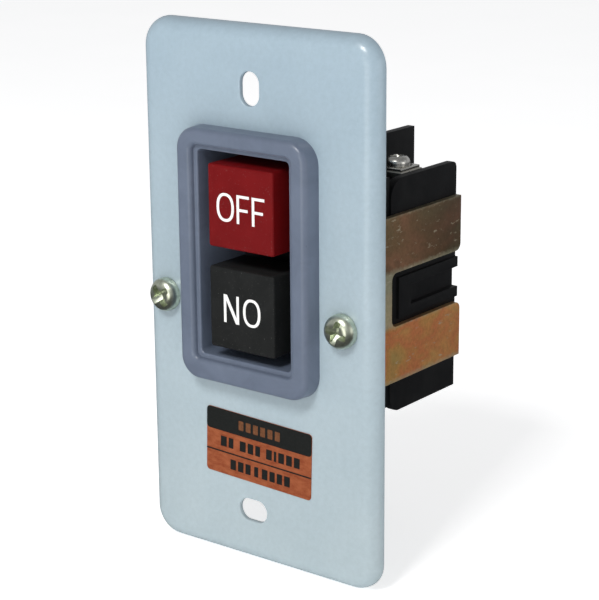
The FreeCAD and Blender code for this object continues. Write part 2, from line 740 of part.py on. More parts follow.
def make_row(row_name, row):
    """One row of terminals: bent strips with contact tips, clamp washers and screws."""
    strips, tips, clamps, screws = [], [], [], []
    shelf = f"shelf_{row_name}"
    strip_top = f"({shelf} + strip_sheet)"
    clamp_top = f"({strip_top} + clamp_sheet)"
    for pole in POLES:
        name = f"{row_name}_{'abc'[pole + 1]}"
        wide = about(pole_x(pole), "strip_half")
        flat = block(f"strip_{name}", wide, ("strip_front", "strip_bend"), span(row, shelf, strip_top))
        bends = strip_bends(f"strip_{name}", pole, row, strip_top, "strip_foot")
        place = {"x": pole_x(pole), "y": "terminal_y"}
        hole = rod(f"tapping_{name}", "z", "m_three", span(row, f"{shelf} - 1", f"{strip_top} + 1"), place)
        strips.append(less(f"conductor_{name}", joined(f"bent_{name}", [flat, *bends]), [hole]))
        tip_depth = ("chamber_rear - strip_sheet - fixed_tip", "chamber_rear - strip_sheet")
        tip_place = {"x": pole_x(pole), "z": f"{row} * tip_z"}
        tips.append(rod(f"tip_{name}", "y", "tip_radius", tip_depth, tip_place))
        washer = block(
            f"washer_{name}", about(pole_x(pole), "clamp_half"), about("terminal_y", "clamp_half"),
            span(row, strip_top, clamp_top),
        )
        hole = rod(f"washer_hole_{name}", "z", "m_three", span(row, strip_top, f"{clamp_top} + 1"), place)
        clamps.append(less(f"clamp_{name}", washer, [hole]))
        head_top = f"{clamp_top} + m_three_head_height"
        head = rod(f"head_{name}", "z", "m_three_head", span(row, clamp_top, head_top), place)
        head_z = row * (size(shelf) + size("strip_sheet") + size("clamp_sheet") + size("m_three_head_height"))
        head = rounded(f"head_soft_{name}", head, "m_three_soft", round_edge_at("z", head_z))
        shank = span(row, f"{clamp_top} - m_three_length", f"{clamp_top} + 0.1")
        stem = rod(f"shank_{name}", "z", "m_three", shank, place)
        recess = span(row, f"{head_top} - m_three_recess_deep", f"{head_top} + {PAST}")
        long_x, thin_x = about(pole_x(pole), "m_three_recess"), about(pole_x(pole), "m_three_recess_half")
        long_y, thin_y = about("terminal_y", "m_three_recess"), about("terminal_y", "m_three_recess_half")
        blades = [
            block(f"blade_x_{name}", long_x, thin_y, recess),
            block(f"blade_y_{name}", thin_x, long_y, recess),
        ]
        screws.append(less(f"screw_{name}", joined(f"screw_body_{name}", [head, stem]), blades))
    subpart(f"{row_name}_conductors", strips)
    subpart(f"{row_name}_contact_tips", tips)
    subpart(f"{row_name}_wire_clamps", clamps)
    subpart(f"{row_name}_terminal_screws", screws)


def make_bridges():
    bridges, tips = [], []
    for pole in POLES:
        name = "abc"[pole + 1]
        bridge_depth = ("bridge_front", "bridge_front + bridge_sheet")
        wide = about(pole_x(pole), "bridge_half")
        bridges.append(block(f"bridge_{name}", wide, bridge_depth, about("0", "bridge_half_z")))
        for row_name, row in ROWS:
            tip_depth = ("bridge_front + bridge_sheet", "bridge_front + bridge_sheet + moving_tip")
            place = {"x": pole_x(pole), "z": f"{row} * tip_z"}
            tips.append(rod(f"bridge_tip_{name}_{row_name}", "y", "tip_radius", tip_depth, place))
    subpart("contact_bridges", bridges)
    subpart("bridge_tips", tips)


def make_carrier():
    """A cross beam with a window behind it on each pole, which holds the bridge and its spring."""
    solids = [block("beam", about("0", "beam_half"), ("beam_front", "beam_rear"), about("0", "beam_half_z"))]
    cheek_depth = ("beam_rear - 0.5", "cheek_rear")
    height = about("0", "cheek_half_z")
    for pole in POLES:
        name = "abc"[pole + 1]
        near = f"{pole_x(pole)} + cheek_near"
        far = f"{pole_x(pole)} + cheek_far"
        solids.append(block(f"cheek_right_{name}", (near, far), cheek_depth, height))
        near = f"{pole_x(pole)} - cheek_near"
        far = f"{pole_x(pole)} - cheek_far"
        solids.append(block(f"cheek_left_{name}", (far, near), cheek_depth, height))
        bar_depth = ("bridge_front + bridge_sheet + fit_gap", "cheek_rear")
        solids.append(block(f"end_bar_{name}", about(pole_x(pole), "cheek_far"), bar_depth, height))
    hole = rod("beam_hole", "y", "spigot_radius", (f"beam_front - {PAST}", "spigot_rear"), {"x": "0", "z": "0"})
    subpart("contact_carrier", [less("carrier_solid", joined("carrier_whole", solids), [hole])])


# ---------------------------------------------------------------- latch

def make_latch():
    depth = ("latch_front", "latch_front + latch_sheet")
    past_depth = (f"latch_front - {PAST}", f"latch_front + latch_sheet + {PAST}")
    solids = [
        block("latch_sheet_main", about("0", "latch_half"), depth, ("latch_bottom", "latch_shoulder")),
        block("latch_tongue", about("0", "latch_tongue_half"), depth, ("latch_shoulder - 1", "latch_top")),
        block(
            "latch_tab", about("0", "latch_tongue_half"), ("latch_tab_front", "latch_tab_rear"),
            ("latch_bottom - latch_sheet", "latch_bottom"),
        ),
    ]
    tools = [
        rod("latch_eye_low", "y", "latch_eye", past_depth, {"x": "0", "z": "0"}),
        rod("latch_eye_high", "y", "latch_eye", past_depth, {"x": "0", "z": "latch_eye_rise"}),
        block("latch_eye_middle", about("0", "latch_eye"), past_depth, ("0", "latch_eye_rise")),
        block("latch_slot", about("0", "latch_slot_half"), past_depth, ("latch_slot_bottom", "0")),
    ]
    subpart("latch_plate", [less("latch_solid", joined("latch_whole", solids), tools)])


# ---------------------------------------------------------------- springs

def make_springs():
    button_ends = ("cap_front + cap_face", "case_front")
    for name, z in (("on", "0"), ("off", "button_pitch")):
        spring = coil(
            f"{name}_coil", "y", "button_spring", "button_wire", "button_spring_pitch",
            button_ends, {"x": "0", "z": z},
        )
        subpart(f"{name}_return_spring", [spring])
    contact_ends = ("beam_rear", "bridge_front")
    coils = []
    for pole in POLES:
        coils.append(coil(
            f"contact_coil_{'abc'[pole + 1]}", "y", "contact_spring", "contact_wire",
            "contact_spring_pitch", contact_ends, {"x": pole_x(pole), "z": "0"},
        ))
    subpart("contact_springs", coils)
    latch_ends = ("case_bottom + case_wall", "latch_bottom - latch_sheet")
    spring = coil(
        "latch_coil", "z", "latch_spring", "latch_wire", "latch_spring_pitch",
        latch_ends, {"x": "0", "y": "latch_front + latch_sheet / 2"},
    )
    subpart("latch_return_spring", [spring])


# ---------------------------------------------------------------- screws

def make_plate_screws():
    screws = []
    for side in SIDES:
        name = "right" if side > 0 else "left"
        place = {"x": f"{side} * plate_screw_x", "z": "plate_screw_z"}
        head_front = "(-plate_rise - m_four_head_height)"
        head = rod(f"plate_head_{name}", "y", "m_four_head", (head_front, "-plate_rise"), place)
        head_y = -size("plate_rise") - size("m_four_head_height")
        head = rounded(f"plate_head_soft_{name}", head, "m_four_soft", round_edge_at("y", head_y))
        shank = rod(f"plate_shank_{name}", "y", "m_four", ("-plate_rise - 0.1", "m_four_length - plate_rise"), place)
        recess = (f"{head_front} - {PAST}", f"{head_front} + m_four_recess_deep")
        long_x, thin_x = about(place["x"], "m_four_recess"), about(place["x"], "m_four_recess_half")
        long_z, thin_z = about("plate_screw_z", "m_four_recess"), about("plate_screw_z", "m_four_recess_half")
        blades = [
            block(f"plate_blade_x_{name}", long_x, recess, thin_z),
            block(f"plate_blade_z_{name}", thin_x, recess, long_z),
        ]
        screws.append(less(f"plate_screw_{name}", joined(f"plate_screw_body_{name}", [head, shank]), blades))
    subpart("plate_screws", screws)


def make_case_screws():
    screws = []
    for side, row in corner_places():
        name = f"case_screw_{side}_{row}".replace("-1", "b").replace("1", "a")
        place = {"x": f"{side} * post_x", "z": f"{row} * post_z"}
        head = rod(f"{name}_head", "y", "case_screw_head", ("case_front + latch_clear", "case_screw_seat"), place)
        shank = rod(f"{name}_shank", "y", "case_screw", ("case_screw_seat - 0.1", "case_screw_end"), place)
        head_front = "(case_front + latch_clear)"
        recess = (f"case_front - {PAST}", f"{head_front} + case_screw_slot_deep")
        slot_x = about(place["x"], "case_screw_head + latch_clear")
        slot = block(f"{name}_slot", slot_x, recess, about(place["z"], "case_screw_slot_half"))
        screws.append(less(name, joined(f"{name}_body", [head, shank]), [slot]))
    subpart("case_screws", screws)


make_face_plate()
make_rating_label()
make_bezel()
make_button("on_button", "0")
make_button("off_button", "button_pitch")
make_on_plunger()
make_off_plunger()
make_mechanism_case()
make_contact_base()
make_bracket("bracket_right", 1)
make_bracket("bracket_left", -1)
for row_name, row in ROWS:
    make_row(row_name, row)
make_bridges()
make_carrier()
make_latch()
make_springs()
make_plate_screws()
make_case_screws()
doc.recompute()

# ---------------------------------------------------------------- checks and files

for item in doc.Objects:
    if "Invalid" in item.State or "Error" in item.State:
        raise RuntimeError(f"{item.Name} failed: {item.State}")
for item in subparts:
    if item.Shape.isNull() or not item.Shape.isValid() or not item.Shape.Solids:
        raise RuntimeError(f"{item.Label} has no valid shape")

os.makedirs("parts", exist_ok=True)
for item in subparts:
    item.Shape.exportStep(f"parts/{item.Label}.step")
    box = item.Shape.BoundBox
    print(f"{item.Label:24s} {len(item.Shape.Solids)} solids {item.Shape.Volume:9.1f} mm3"
          f"  y {box.YMin:6.2f} to {box.YMax:6.2f}  z {box.ZMin:6.2f} to {box.ZMax:6.2f}")
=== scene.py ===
"""Looks of a flush push-button motor starter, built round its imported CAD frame. All sizes are in millimetres
until they reach a mesh, which is in metres."""
import json
import math

import bmesh
import bpy
from mathutils import Matrix, Vector


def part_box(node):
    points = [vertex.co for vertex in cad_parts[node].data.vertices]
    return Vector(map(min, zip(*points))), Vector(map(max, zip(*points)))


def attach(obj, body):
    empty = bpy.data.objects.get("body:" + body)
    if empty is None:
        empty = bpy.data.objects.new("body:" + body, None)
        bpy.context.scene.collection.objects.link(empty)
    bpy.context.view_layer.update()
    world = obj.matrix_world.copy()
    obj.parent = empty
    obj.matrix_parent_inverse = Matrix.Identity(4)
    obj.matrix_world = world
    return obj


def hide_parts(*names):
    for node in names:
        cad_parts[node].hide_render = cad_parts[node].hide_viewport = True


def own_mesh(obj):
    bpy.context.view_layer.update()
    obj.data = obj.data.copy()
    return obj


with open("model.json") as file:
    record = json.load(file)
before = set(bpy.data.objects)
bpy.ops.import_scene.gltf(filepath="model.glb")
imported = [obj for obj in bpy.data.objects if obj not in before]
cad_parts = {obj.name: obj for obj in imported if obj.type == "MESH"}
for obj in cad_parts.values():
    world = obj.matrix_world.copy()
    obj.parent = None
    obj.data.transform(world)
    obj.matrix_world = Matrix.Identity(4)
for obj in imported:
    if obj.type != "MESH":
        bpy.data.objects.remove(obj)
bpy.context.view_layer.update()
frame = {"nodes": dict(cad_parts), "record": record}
nodes = frame["nodes"]
mounts = {mount["name"]: mount for mount in frame["record"]["mounts"]}

MM = 0.001
ARC_STEPS = 10                 # segments in a quarter turn of a rounded outline
EDGE_STEPS = 4                 # segments across a small edge rounding


def box_mm(node):
    """A node's lowest and highest corners in millimetres."""
    low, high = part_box(node)
    return low / MM, high / MM


PLATE_LOW, PLATE_HIGH = box_mm("face_plate")
BEZEL_LOW, BEZEL_HIGH = box_mm("bezel")
ON_LOW, ON_HIGH = box_mm("on_button")
OFF_LOW, OFF_HIGH = box_mm("off_button")
AXIS_Z = (ON_LOW.z + ON_HIGH.z) / 2
OFF_Z = (OFF_LOW.z + OFF_HIGH.z) / 2
WELL_Z = (AXIS_Z + OFF_Z) / 2
FRONT_Y = PLATE_LOW.y
CASE_FRONT = box_mm("mechanism_case")[0].y
SCREW_LOW, SCREW_HIGH = box_mm("plate_screws")
SCREW_RADIUS = (SCREW_HIGH.z - SCREW_LOW.z) / 2
SCREW_X = SCREW_HIGH.x - SCREW_RADIUS
SCREW_Z = (SCREW_HIGH.z + SCREW_LOW.z) / 2


# ---------------------------------------------------------------- camera, floor and light

CAMERA_PLACE = Vector((218.0, -269.7, 99.9))
CAMERA_AZIMUTH = 37.81
CAMERA_ELEVATION = 15.99
CAMERA_ROLL = -0.47
CAMERA_LENS = 113.06           # on a 36 mm sensor
FLOOR_HALF = 30000.0
WORLD_STRENGTH = 0.42
SKY = ((0.38, 0.16), (0.50, 0.85), (0.66, 1.0), (0.86, 0.55))   # brightness from straight down (0) to up (1)


def look_matrix(azimuth, elevation, roll=0.0):
    """A camera's turn when it looks back along the given azimuth and elevation, in degrees."""
    a, e = math.radians(azimuth), math.radians(elevation)
    back = Vector((math.sin(a) * math.cos(e), -math.cos(a) * math.cos(e), math.sin(e)))
    right = Vector((math.cos(a), math.sin(a), 0.0))
    up = back.cross(right)
    turn = Matrix((right, up, back)).transposed()
    return turn @ Matrix.Rotation(math.radians(roll), 3, "Z")


def make_camera():
    data = bpy.data.cameras.new("camera")
    data.lens = CAMERA_LENS
    data.sensor_width = 36.0
    data.clip_start = 0.01
    data.clip_end = 100.0
    camera = bpy.data.objects.new("camera", data)
    bpy.context.scene.collection.objects.link(camera)
    turn = look_matrix(CAMERA_AZIMUTH, CAMERA_ELEVATION, CAMERA_ROLL)
    camera.matrix_world = Matrix.Translation(CAMERA_PLACE * MM) @ turn.to_4x4()
    bpy.context.scene.camera = camera


def make_light(name, place, target, width, power, colour=(1.0, 1.0, 1.0)):
    """A square soft box; its place and target are in millimetres."""
    data = bpy.data.lights.new(name, "AREA")
    data.shape = "SQUARE"
    data.size = width * MM
    data.energy = power
    data.color = colour
    light = bpy.data.objects.new(name, data)
    bpy.context.scene.collection.objects.link(light)
    place, target = Vector(place), Vector(target)
    light.location = place * MM
    light.rotation_mode = "QUATERNION"
    light.rotation_quaternion = (target - place).to_track_quat("-Z", "Y")


def make_world():
    """Soft grey room light, dim below the horizon, where the floor gives light enough."""
    world = bpy.data.worlds.new("studio")
    world.use_nodes = True
    tree = world.node_tree
    place = tree.nodes.new("ShaderNodeTexCoord")
    split = tree.nodes.new("ShaderNodeSeparateXYZ")
    ramp = tree.nodes.new("ShaderNodeValToRGB")
    lift = tree.nodes.new("ShaderNodeMapRange")
    lift.inputs["From Min"].default_value = -1.0
    tree.links.new(place.outputs["Generated"], split.inputs["Vector"])
    tree.links.new(split.outputs["Z"], lift.inputs["Value"])
    tree.links.new(lift.outputs["Result"], ramp.inputs["Fac"])
    tree.links.new(ramp.outputs["Color"], tree.nodes["Background"].inputs["Color"])
    elements = ramp.color_ramp.elements
    while len(elements) < len(SKY):
        elements.new(0.5)
    for element, (position, level) in zip(elements, SKY):
        element.position = position
        element.color = (level, level * 1.01, level * 1.03, 1.0)
    tree.nodes["Background"].inputs["Strength"].default_value = WORLD_STRENGTH
    bpy.context.scene.world = world


def make_stage():
    mesh = bpy.data.meshes.new("floor")
    corners = [
        (-FLOOR_HALF, -FLOOR_HALF), (FLOOR_HALF, -FLOOR_HALF),
        (FLOOR_HALF, FLOOR_HALF), (-FLOOR_HALF, FLOOR_HALF),
    ]
    height = PLATE_LOW.z - 0.02
    mesh.from_pydata([(x * MM, y * MM, height * MM) for x, y in corners], [], [(0, 1, 2, 3)])
    floor = bpy.data.objects.new("floor", mesh)
    bpy.context.scene.collection.objects.link(floor)
    floor.data.materials.append(floor_material())
    floor.visible_glossy = False
    bpy.context.scene.view_settings.view_transform = "Standard"
    middle = (0.0, 0.0, 0.0)
    make_light("key", (70.0, -500.0, 540.0), middle, 200.0, 3.05, (1.0, 0.99, 0.98))
    make_light("low", (60.0, -600.0, -30.0), (0.0, 0.0, -20.0), 320.0, 0.75, (1.0, 0.965, 0.90))
    make_light("side", (560.0, 60.0, 90.0), (0.0, 20.0, 0.0), 260.0, 0.2, (1.0, 0.985, 0.95))


# ---------------------------------------------------------------- materials

class Shader:
    """A node material with a Principled shader whose patterns are laid out in millimetres of the piece."""

    def __init__(self, name):
        self.material = bpy.data.materials.new(name)
        self.material.use_nodes = True
        self.tree = self.material.node_tree
        self.principled = self.tree.nodes["Principled BSDF"]
        self.height = None
        place = self.tree.nodes.new("ShaderNodeTexCoord")
        scale = self.tree.nodes.new("ShaderNodeMapping")
        scale.inputs["Scale"].default_value = (1 / MM, 1 / MM, 1 / MM)
        self.link(place.outputs["Object"], scale.inputs["Vector"])
        self.place = scale.outputs["Vector"]

    def link(self, source, target):
        self.tree.links.new(source, target)

    def fixed(self, **values):
        for socket, value in values.items():
            self.principled.inputs[socket.replace("_", " ")].default_value = value

    def stretched(self, scale, turn=(0.0, 0.0, 0.0)):
        node = self.tree.nodes.new("ShaderNodeMapping")
        node.inputs["Scale"].default_value = scale
        node.inputs["Rotation"].default_value = [math.radians(angle) for angle in turn]
        self.link(self.place, node.inputs["Vector"])
        return node.outputs["Vector"]

    def noise(self, per_mm, detail=3.0, rough=0.55, vector=None, distortion=0.0):
        node = self.tree.nodes.new("ShaderNodeTexNoise")
        node.inputs["Scale"].default_value = per_mm
        node.inputs["Detail"].default_value = detail
        node.inputs["Roughness"].default_value = rough
        node.inputs["Distortion"].default_value = distortion
        self.link(vector or self.place, node.inputs["Vector"])
        return node.outputs["Fac"]

    def cells(self, per_mm, feature="F1", vector=None):
        node = self.tree.nodes.new("ShaderNodeTexVoronoi")
        node.feature = feature
        node.inputs["Scale"].default_value = per_mm
        self.link(vector or self.place, node.inputs["Vector"])
        return node.outputs["Distance"]

    def ramp(self, source, stops):
        """Turns a pattern into colours or levels; each stop is (position, colour or level)."""
        node = self.tree.nodes.new("ShaderNodeValToRGB")
        elements = node.color_ramp.elements
        while len(elements) < len(stops):
            elements.new(0.5)
        for element, (position, value) in zip(elements, stops):
            element.position = position
            element.color = (*value, 1.0) if isinstance(value, tuple) else (value, value, value, 1.0)
        self.link(source, node.inputs["Fac"])
        return node.outputs["Color"]

    def mixed(self, factor, first, second, mode="MIX"):
        """Two colours or colour outputs, mixed by a level or an output."""
        node = self.tree.nodes.new("ShaderNodeMix")
        node.data_type = "RGBA"
        node.blend_type = mode
        for index, value in ((0, factor), (6, first), (7, second)):
            if isinstance(value, bpy.types.NodeSocket):
                self.link(value, node.inputs[index])
            else:
                node.inputs[index].default_value = value if index == 0 else (*value, 1.0)
        return node.outputs[2]

    def colour(self, source):
        self.link(source, self.principled.inputs["Base Color"])

    def rough(self, source, low, high):
        node = self.tree.nodes.new("ShaderNodeMapRange")
        node.inputs["To Min"].default_value = low
        node.inputs["To Max"].default_value = high
        self.link(source, node.inputs["Value"])
        self.link(node.outputs["Result"], self.principled.inputs["Roughness"])

    def bump(self, source, depth):
        """Adds relief of the given depth in millimetres; several reliefs chain."""
        node = self.tree.nodes.new("ShaderNodeBump")
        node.inputs["Strength"].default_value = 1.0
        node.inputs["Distance"].default_value = depth * MM
        self.link(source, node.inputs["Height"])
        if self.height:
            self.link(self.height, node.inputs["Normal"])
        self.height = node.outputs["Normal"]
        self.link(self.height, self.principled.inputs["Normal"])


def floor_material():
    shader = Shader("floor_paper")
    grain = shader.noise(0.02, 4.0)
    shader.colour(shader.ramp(grain, [(0.3, (0.91, 0.915, 0.92)), (0.7, (0.94, 0.94, 0.945))]))
    shader.rough(grain, 0.8, 0.95)
    shader.fixed(Specular_IOR_Level=0.0, Emission_Color=(1.0, 1.0, 1.0, 1.0), Emission_Strength=0.62)
    return shader.material


def enamel_material():
    """Light blue-grey baked enamel: a slow drift of tone, fine orange peel and a few dust nibs.
    Painted light: the colour is lighter and warmer towards the plate's foot and darker towards its top."""
    shader = Shader("plate_enamel")
    tone = [(0.3, (0.400, 0.505, 0.580)), (0.7, (0.440, 0.545, 0.620))]
    drift = shader.ramp(shader.noise(0.045, 4.0), tone)
    mottle = shader.ramp(shader.noise(0.9, 4.0, 0.7), [(0.35, 0.93), (0.65, 1.0)])
    split = shader.tree.nodes.new("ShaderNodeSeparateXYZ")
    shader.link(shader.place, split.inputs["Vector"])
    height = shader.tree.nodes.new("ShaderNodeMapRange")
    height.inputs["From Min"].default_value = -50.0
    height.inputs["From Max"].default_value = 50.0
    shader.link(split.outputs["Z"], height.inputs["Value"])
    # painted light: lighter, warmer colour at the foot and darker at the top, standing in for how the light falls
    painted_light_by_height = shader.ramp(height.outputs["Result"], [(0.05, (1.0, 0.965, 0.905)), (0.95, (0.81, 0.845, 0.865))])
    nibs = shader.ramp(shader.cells(0.55), [(0.0, 0.72), (0.045, 1.0)])
    base = shader.mixed(1.0, drift, mottle, "MULTIPLY")
    base = shader.mixed(1.0, base, painted_light_by_height, "MULTIPLY")
    shader.colour(shader.mixed(0.6, base, nibs, "MULTIPLY"))
    shader.rough(shader.noise(0.35, 4.0), 0.30, 0.42)
    shader.bump(shader.noise(1.5, 2.0), 0.012)
    shader.bump(shader.noise(0.25, 2.0), 0.020)
    shader.fixed(Coat_Weight=0.4, Coat_Roughness=0.16)
    return shader.material


def moulded_material(name, dark, light, roughness, grain_depth=0.010, grain=5.0):
    """Satin moulding: fine spark-eroded grain, slight flow marks, and handling marks in the gloss."""
    shader = Shader(name)
    flow = shader.noise(0.12, 4.0, 0.6, distortion=1.5)
    shader.colour(shader.ramp(flow, [(0.3, dark), (0.72, light)]))
    smear = shader.noise(0.6, 5.0, 0.65, shader.stretched((1.0, 1.0, 0.25), (0.0, 24.0, 0.0)))
    shader.rough(smear, roughness - 0.07, roughness + 0.09)
    shader.bump(shader.noise(grain, 3.0, 0.6), grain_depth)
    shader.bump(shader.noise(0.4, 2.0), 0.012)
    return shader


def phenolic_material():
    """Black phenolic moulding: pale dust and fine scratches over a faint blue sheen."""
    shader = moulded_material("black_phenolic", (0.0055, 0.0058, 0.0068), (0.0105, 0.0108, 0.0115), 0.44)
    dust = shader.ramp(shader.noise(3.0, 5.0, 0.75), [(0.62, 0.0), (0.80, 1.0)])
    base = shader.principled.inputs["Base Color"].links[0].from_socket
    shader.colour(shader.mixed(dust, base, (0.035, 0.036, 0.042)))
    shader.fixed(Specular_IOR_Level=0.12)
    return shader.material


def cap_material(name, dark, light):
    """A button's moulding, handled and dusty: sparse pale specks sit on the grain."""
    shader = moulded_material(name, dark, light, 0.46, 0.014, 3.2)
    base = shader.principled.inputs["Base Color"].links[0].from_socket
    specks = shader.ramp(shader.noise(4.5, 2.0, 0.5), [(0.70, 0.0), (0.76, 0.55)])
    shader.colour(shader.mixed(specks, base, (0.20, 0.19, 0.18)))
    shader.fixed(Specular_IOR_Level=0.10)
    return shader.material


def zinc_material():
    """Yellow-passivated zinc: soft iridescent clouds from olive to orange, dull crystals and a few scuffs.
    The upper band has taken the darker, browner film, darker still towards the rear; a painted highlight lightens
    both bands' edges with pale colour."""
    shader = Shader("yellow_zinc")
    clouds = shader.noise(0.085, 3.0, 0.5, shader.stretched((1.0, 0.7, 1.25), (25.0, 0.0, 0.0)), 0.8)
    warm = shader.ramp(clouds, [
        (0.30, (0.47, 0.31, 0.10)), (0.42, (0.60, 0.31, 0.09)), (0.52, (0.64, 0.22, 0.08)),
        (0.62, (0.66, 0.32, 0.10)), (0.74, (0.50, 0.37, 0.14)),
    ])
    dull = shader.ramp(clouds, [
        (0.30, (0.220, 0.160, 0.080)), (0.42, (0.250, 0.145, 0.072)), (0.52, (0.330, 0.165, 0.090)),
        (0.62, (0.180, 0.105, 0.055)), (0.74, (0.230, 0.185, 0.100)),
    ])
    split = shader.tree.nodes.new("ShaderNodeSeparateXYZ")
    shader.link(shader.place, split.inputs["Vector"])
    height = shader.tree.nodes.new("ShaderNodeMapRange")
    height.inputs["From Min"].default_value = -2.0
    height.inputs["From Max"].default_value = 2.0
    shader.link(split.outputs["Z"], height.inputs["Value"])
    depth = shader.tree.nodes.new("ShaderNodeMapRange")
    depth.inputs["From Min"].default_value = 12.0
    depth.inputs["From Max"].default_value = 38.0
    shader.link(split.outputs["Y"], depth.inputs["Value"])
    # the upper band's film colour is made darker towards the rear
    darker_to_rear = shader.ramp(depth.outputs["Result"], [(0.25, 1.0), (0.9, 0.52)])
    dull = shader.mixed(1.0, dull, darker_to_rear, "MULTIPLY")
    film = shader.mixed(height.outputs["Result"], warm, dull)
    level = shader.tree.nodes.new("ShaderNodeMath")
    level.operation = "ABSOLUTE"
    shader.link(split.outputs["Z"], level.inputs[0])
    lifted = shader.tree.nodes.new("ShaderNodeMath")
    lifted.operation = "MULTIPLY_ADD"
    lifted.inputs[1].default_value = 1.6
    shader.link(shader.noise(0.9, 4.0, 0.7), lifted.inputs[0])
    shader.link(level.outputs["Value"], lifted.inputs[2])
    span = shader.tree.nodes.new("ShaderNodeMapRange")
    span.inputs["From Min"].default_value = 5.0
    span.inputs["From Max"].default_value = 18.6
    shader.link(lifted.outputs["Value"], span.inputs["Value"])
    # painted highlight: pale colour along both bands' edges stands in for light caught on the rounded sheet edges
    pale = shader.ramp(span.outputs["Result"], [(0.06, 0.75), (0.14, 0.0), (0.86, 0.0), (0.95, 0.8)])
    film = shader.mixed(pale, film, (0.46, 0.45, 0.31))
    grain = shader.ramp(shader.noise(1.4, 4.0, 0.7), [(0.34, 0.80), (0.6, 1.0)])
    film = shader.mixed(1.0, film, grain, "MULTIPLY")
    scuff = shader.noise(0.7, 4.0, 0.7, shader.stretched((1.0, 0.45, 1.5), (16.0, 0.0, 0.0)))
    worn = shader.ramp(scuff, [(0.62, 0.0), (0.68, 0.75)])
    shader.colour(shader.mixed(worn, film, (0.52, 0.46, 0.33)))
    shader.rough(shader.noise(0.6, 4.0, 0.6), 0.32, 0.52)
    shader.bump(shader.noise(1.2, 4.0, 0.7), 0.012)
    shader.fixed(Metallic=0.55)
    return shader.material


def metal_material(
    name, dark, light, low_rough, high_rough, stretch=(1.0, 1.0, 1.0), per_mm=1.6, depth=0.006,
):
    """Plated or rolled metal: tone and gloss vary, and fine marks run along the stretch."""
    shader = Shader(name)
    marks = shader.noise(per_mm, 5.0, 0.65, shader.stretched(stretch))
    shader.colour(shader.ramp(marks, [(0.3, dark), (0.7, light)]))
    shader.rough(shader.noise(per_mm * 0.6, 4.0, 0.6), low_rough, high_rough)
    shader.bump(marks, depth)
    shader.fixed(Metallic=1.0)
    return shader.material


def ink_material(name, dark, light, roughness):
    """Printed or filled colour with slight unevenness."""
    shader = Shader(name)
    shader.colour(shader.ramp(shader.noise(2.2, 4.0, 0.7), [(0.3, dark), (0.65, light)]))
    shader.rough(shader.noise(1.4, 3.0), roughness - 0.05, roughness + 0.08)
    shader.bump(shader.noise(4.0, 2.0), 0.004)
    shader.fixed(Specular_IOR_Level=0.3)
    return shader.material


def foil_material(name, dark, light):
    """Printed metallised label foil with rubbed patches."""
    shader = Shader(name)
    rub = shader.noise(0.5, 6.0, 0.7, shader.stretched((1.0, 1.0, 2.2), (0.0, 8.0, 0.0)))
    shader.colour(shader.ramp(rub, [(0.32, dark), (0.66, light)]))
    shader.rough(shader.noise(1.0, 4.0), 0.30, 0.46)
    shader.bump(shader.noise(0.8, 3.0), 0.008)
    shader.fixed(Metallic=0.25)
    return shader.material


MATERIALS = {
    "plate_enamel": enamel_material(),
    "bezel_plastic": moulded_material(
        "bezel_plastic", (0.110, 0.137, 0.192), (0.138, 0.169, 0.232), 0.30,
    ).material,
    "black_button": cap_material("black_button", (0.0125, 0.0135, 0.0135), (0.0180, 0.0190, 0.0190)),
    "red_button": cap_material("red_button", (0.138, 0.0034, 0.0046), (0.172, 0.0048, 0.0060)),
    "plunger_plastic": moulded_material(
        "plunger_plastic", (0.62, 0.60, 0.53), (0.72, 0.70, 0.63), 0.46,
    ).material,
    "black_phenolic": phenolic_material(),
    "yellow_zinc": zinc_material(),
    "nickel_brass": metal_material("nickel_brass", (0.62, 0.60, 0.55), (0.80, 0.78, 0.72), 0.22, 0.36),
    "nickel_steel": metal_material("nickel_steel", (0.60, 0.59, 0.55), (0.80, 0.79, 0.75), 0.18, 0.32),
    "silver": metal_material("silver", (0.70, 0.69, 0.66), (0.86, 0.85, 0.82), 0.28, 0.42),
    "brass": metal_material("brass", (0.56, 0.38, 0.15), (0.72, 0.52, 0.24), 0.26, 0.40, (1.0, 4.0, 0.3)),
    "carrier_plastic": moulded_material(
        "carrier_plastic", (0.150, 0.062, 0.026), (0.200, 0.088, 0.038), 0.44,
    ).material,
    "bright_steel": metal_material("bright_steel", (0.46, 0.46, 0.47), (0.62, 0.62, 0.62), 0.30, 0.44),
    "spring_steel": metal_material("spring_steel", (0.34, 0.34, 0.36), (0.50, 0.50, 0.51), 0.28, 0.42),
    "screw_zinc": metal_material("screw_zinc", (0.52, 0.57, 0.44), (0.80, 0.84, 0.71), 0.26, 0.42),
    "label_foil": foil_material("label_foil", (0.27, 0.052, 0.014), (0.44, 0.125, 0.046)),
}
WHITE_INK = ink_material("white_ink", (0.80, 0.80, 0.79), (0.90, 0.90, 0.89), 0.45)
DARK_INK = ink_material("dark_ink", (0.0085, 0.0100, 0.0095), (0.0150, 0.0160, 0.0150), 0.34)
FAINT_INK = ink_material("faint_ink", (0.100, 0.040, 0.016), (0.190, 0.070, 0.026), 0.36)


# ---------------------------------------------------------------- mesh helpers

SHARP_ANGLE = math.radians(33.0)


def add_piece(name, bm, slot, body, replaced=(), material=None):
    """Makes the finished piece from a mesh in millimetres, shades it, hangs it on its body and hides the CAD nodes
    it replaces.
    """
    bmesh.ops.recalc_face_normals(bm, faces=bm.faces)
    mesh = bpy.data.meshes.new(name)
    bmesh.ops.scale(bm, vec=(MM, MM, MM), verts=bm.verts)
    bm.to_mesh(mesh)
    bm.free()
    mesh.shade_smooth()
    mesh.set_sharp_from_angle(angle=SHARP_ANGLE)
    mesh.materials.append(material or MATERIALS[slot])
    piece = bpy.data.objects.new(name, mesh)
    bpy.context.scene.collection.objects.link(piece)
    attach(piece, body)
    if replaced:
        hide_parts(*replaced)
    return piece


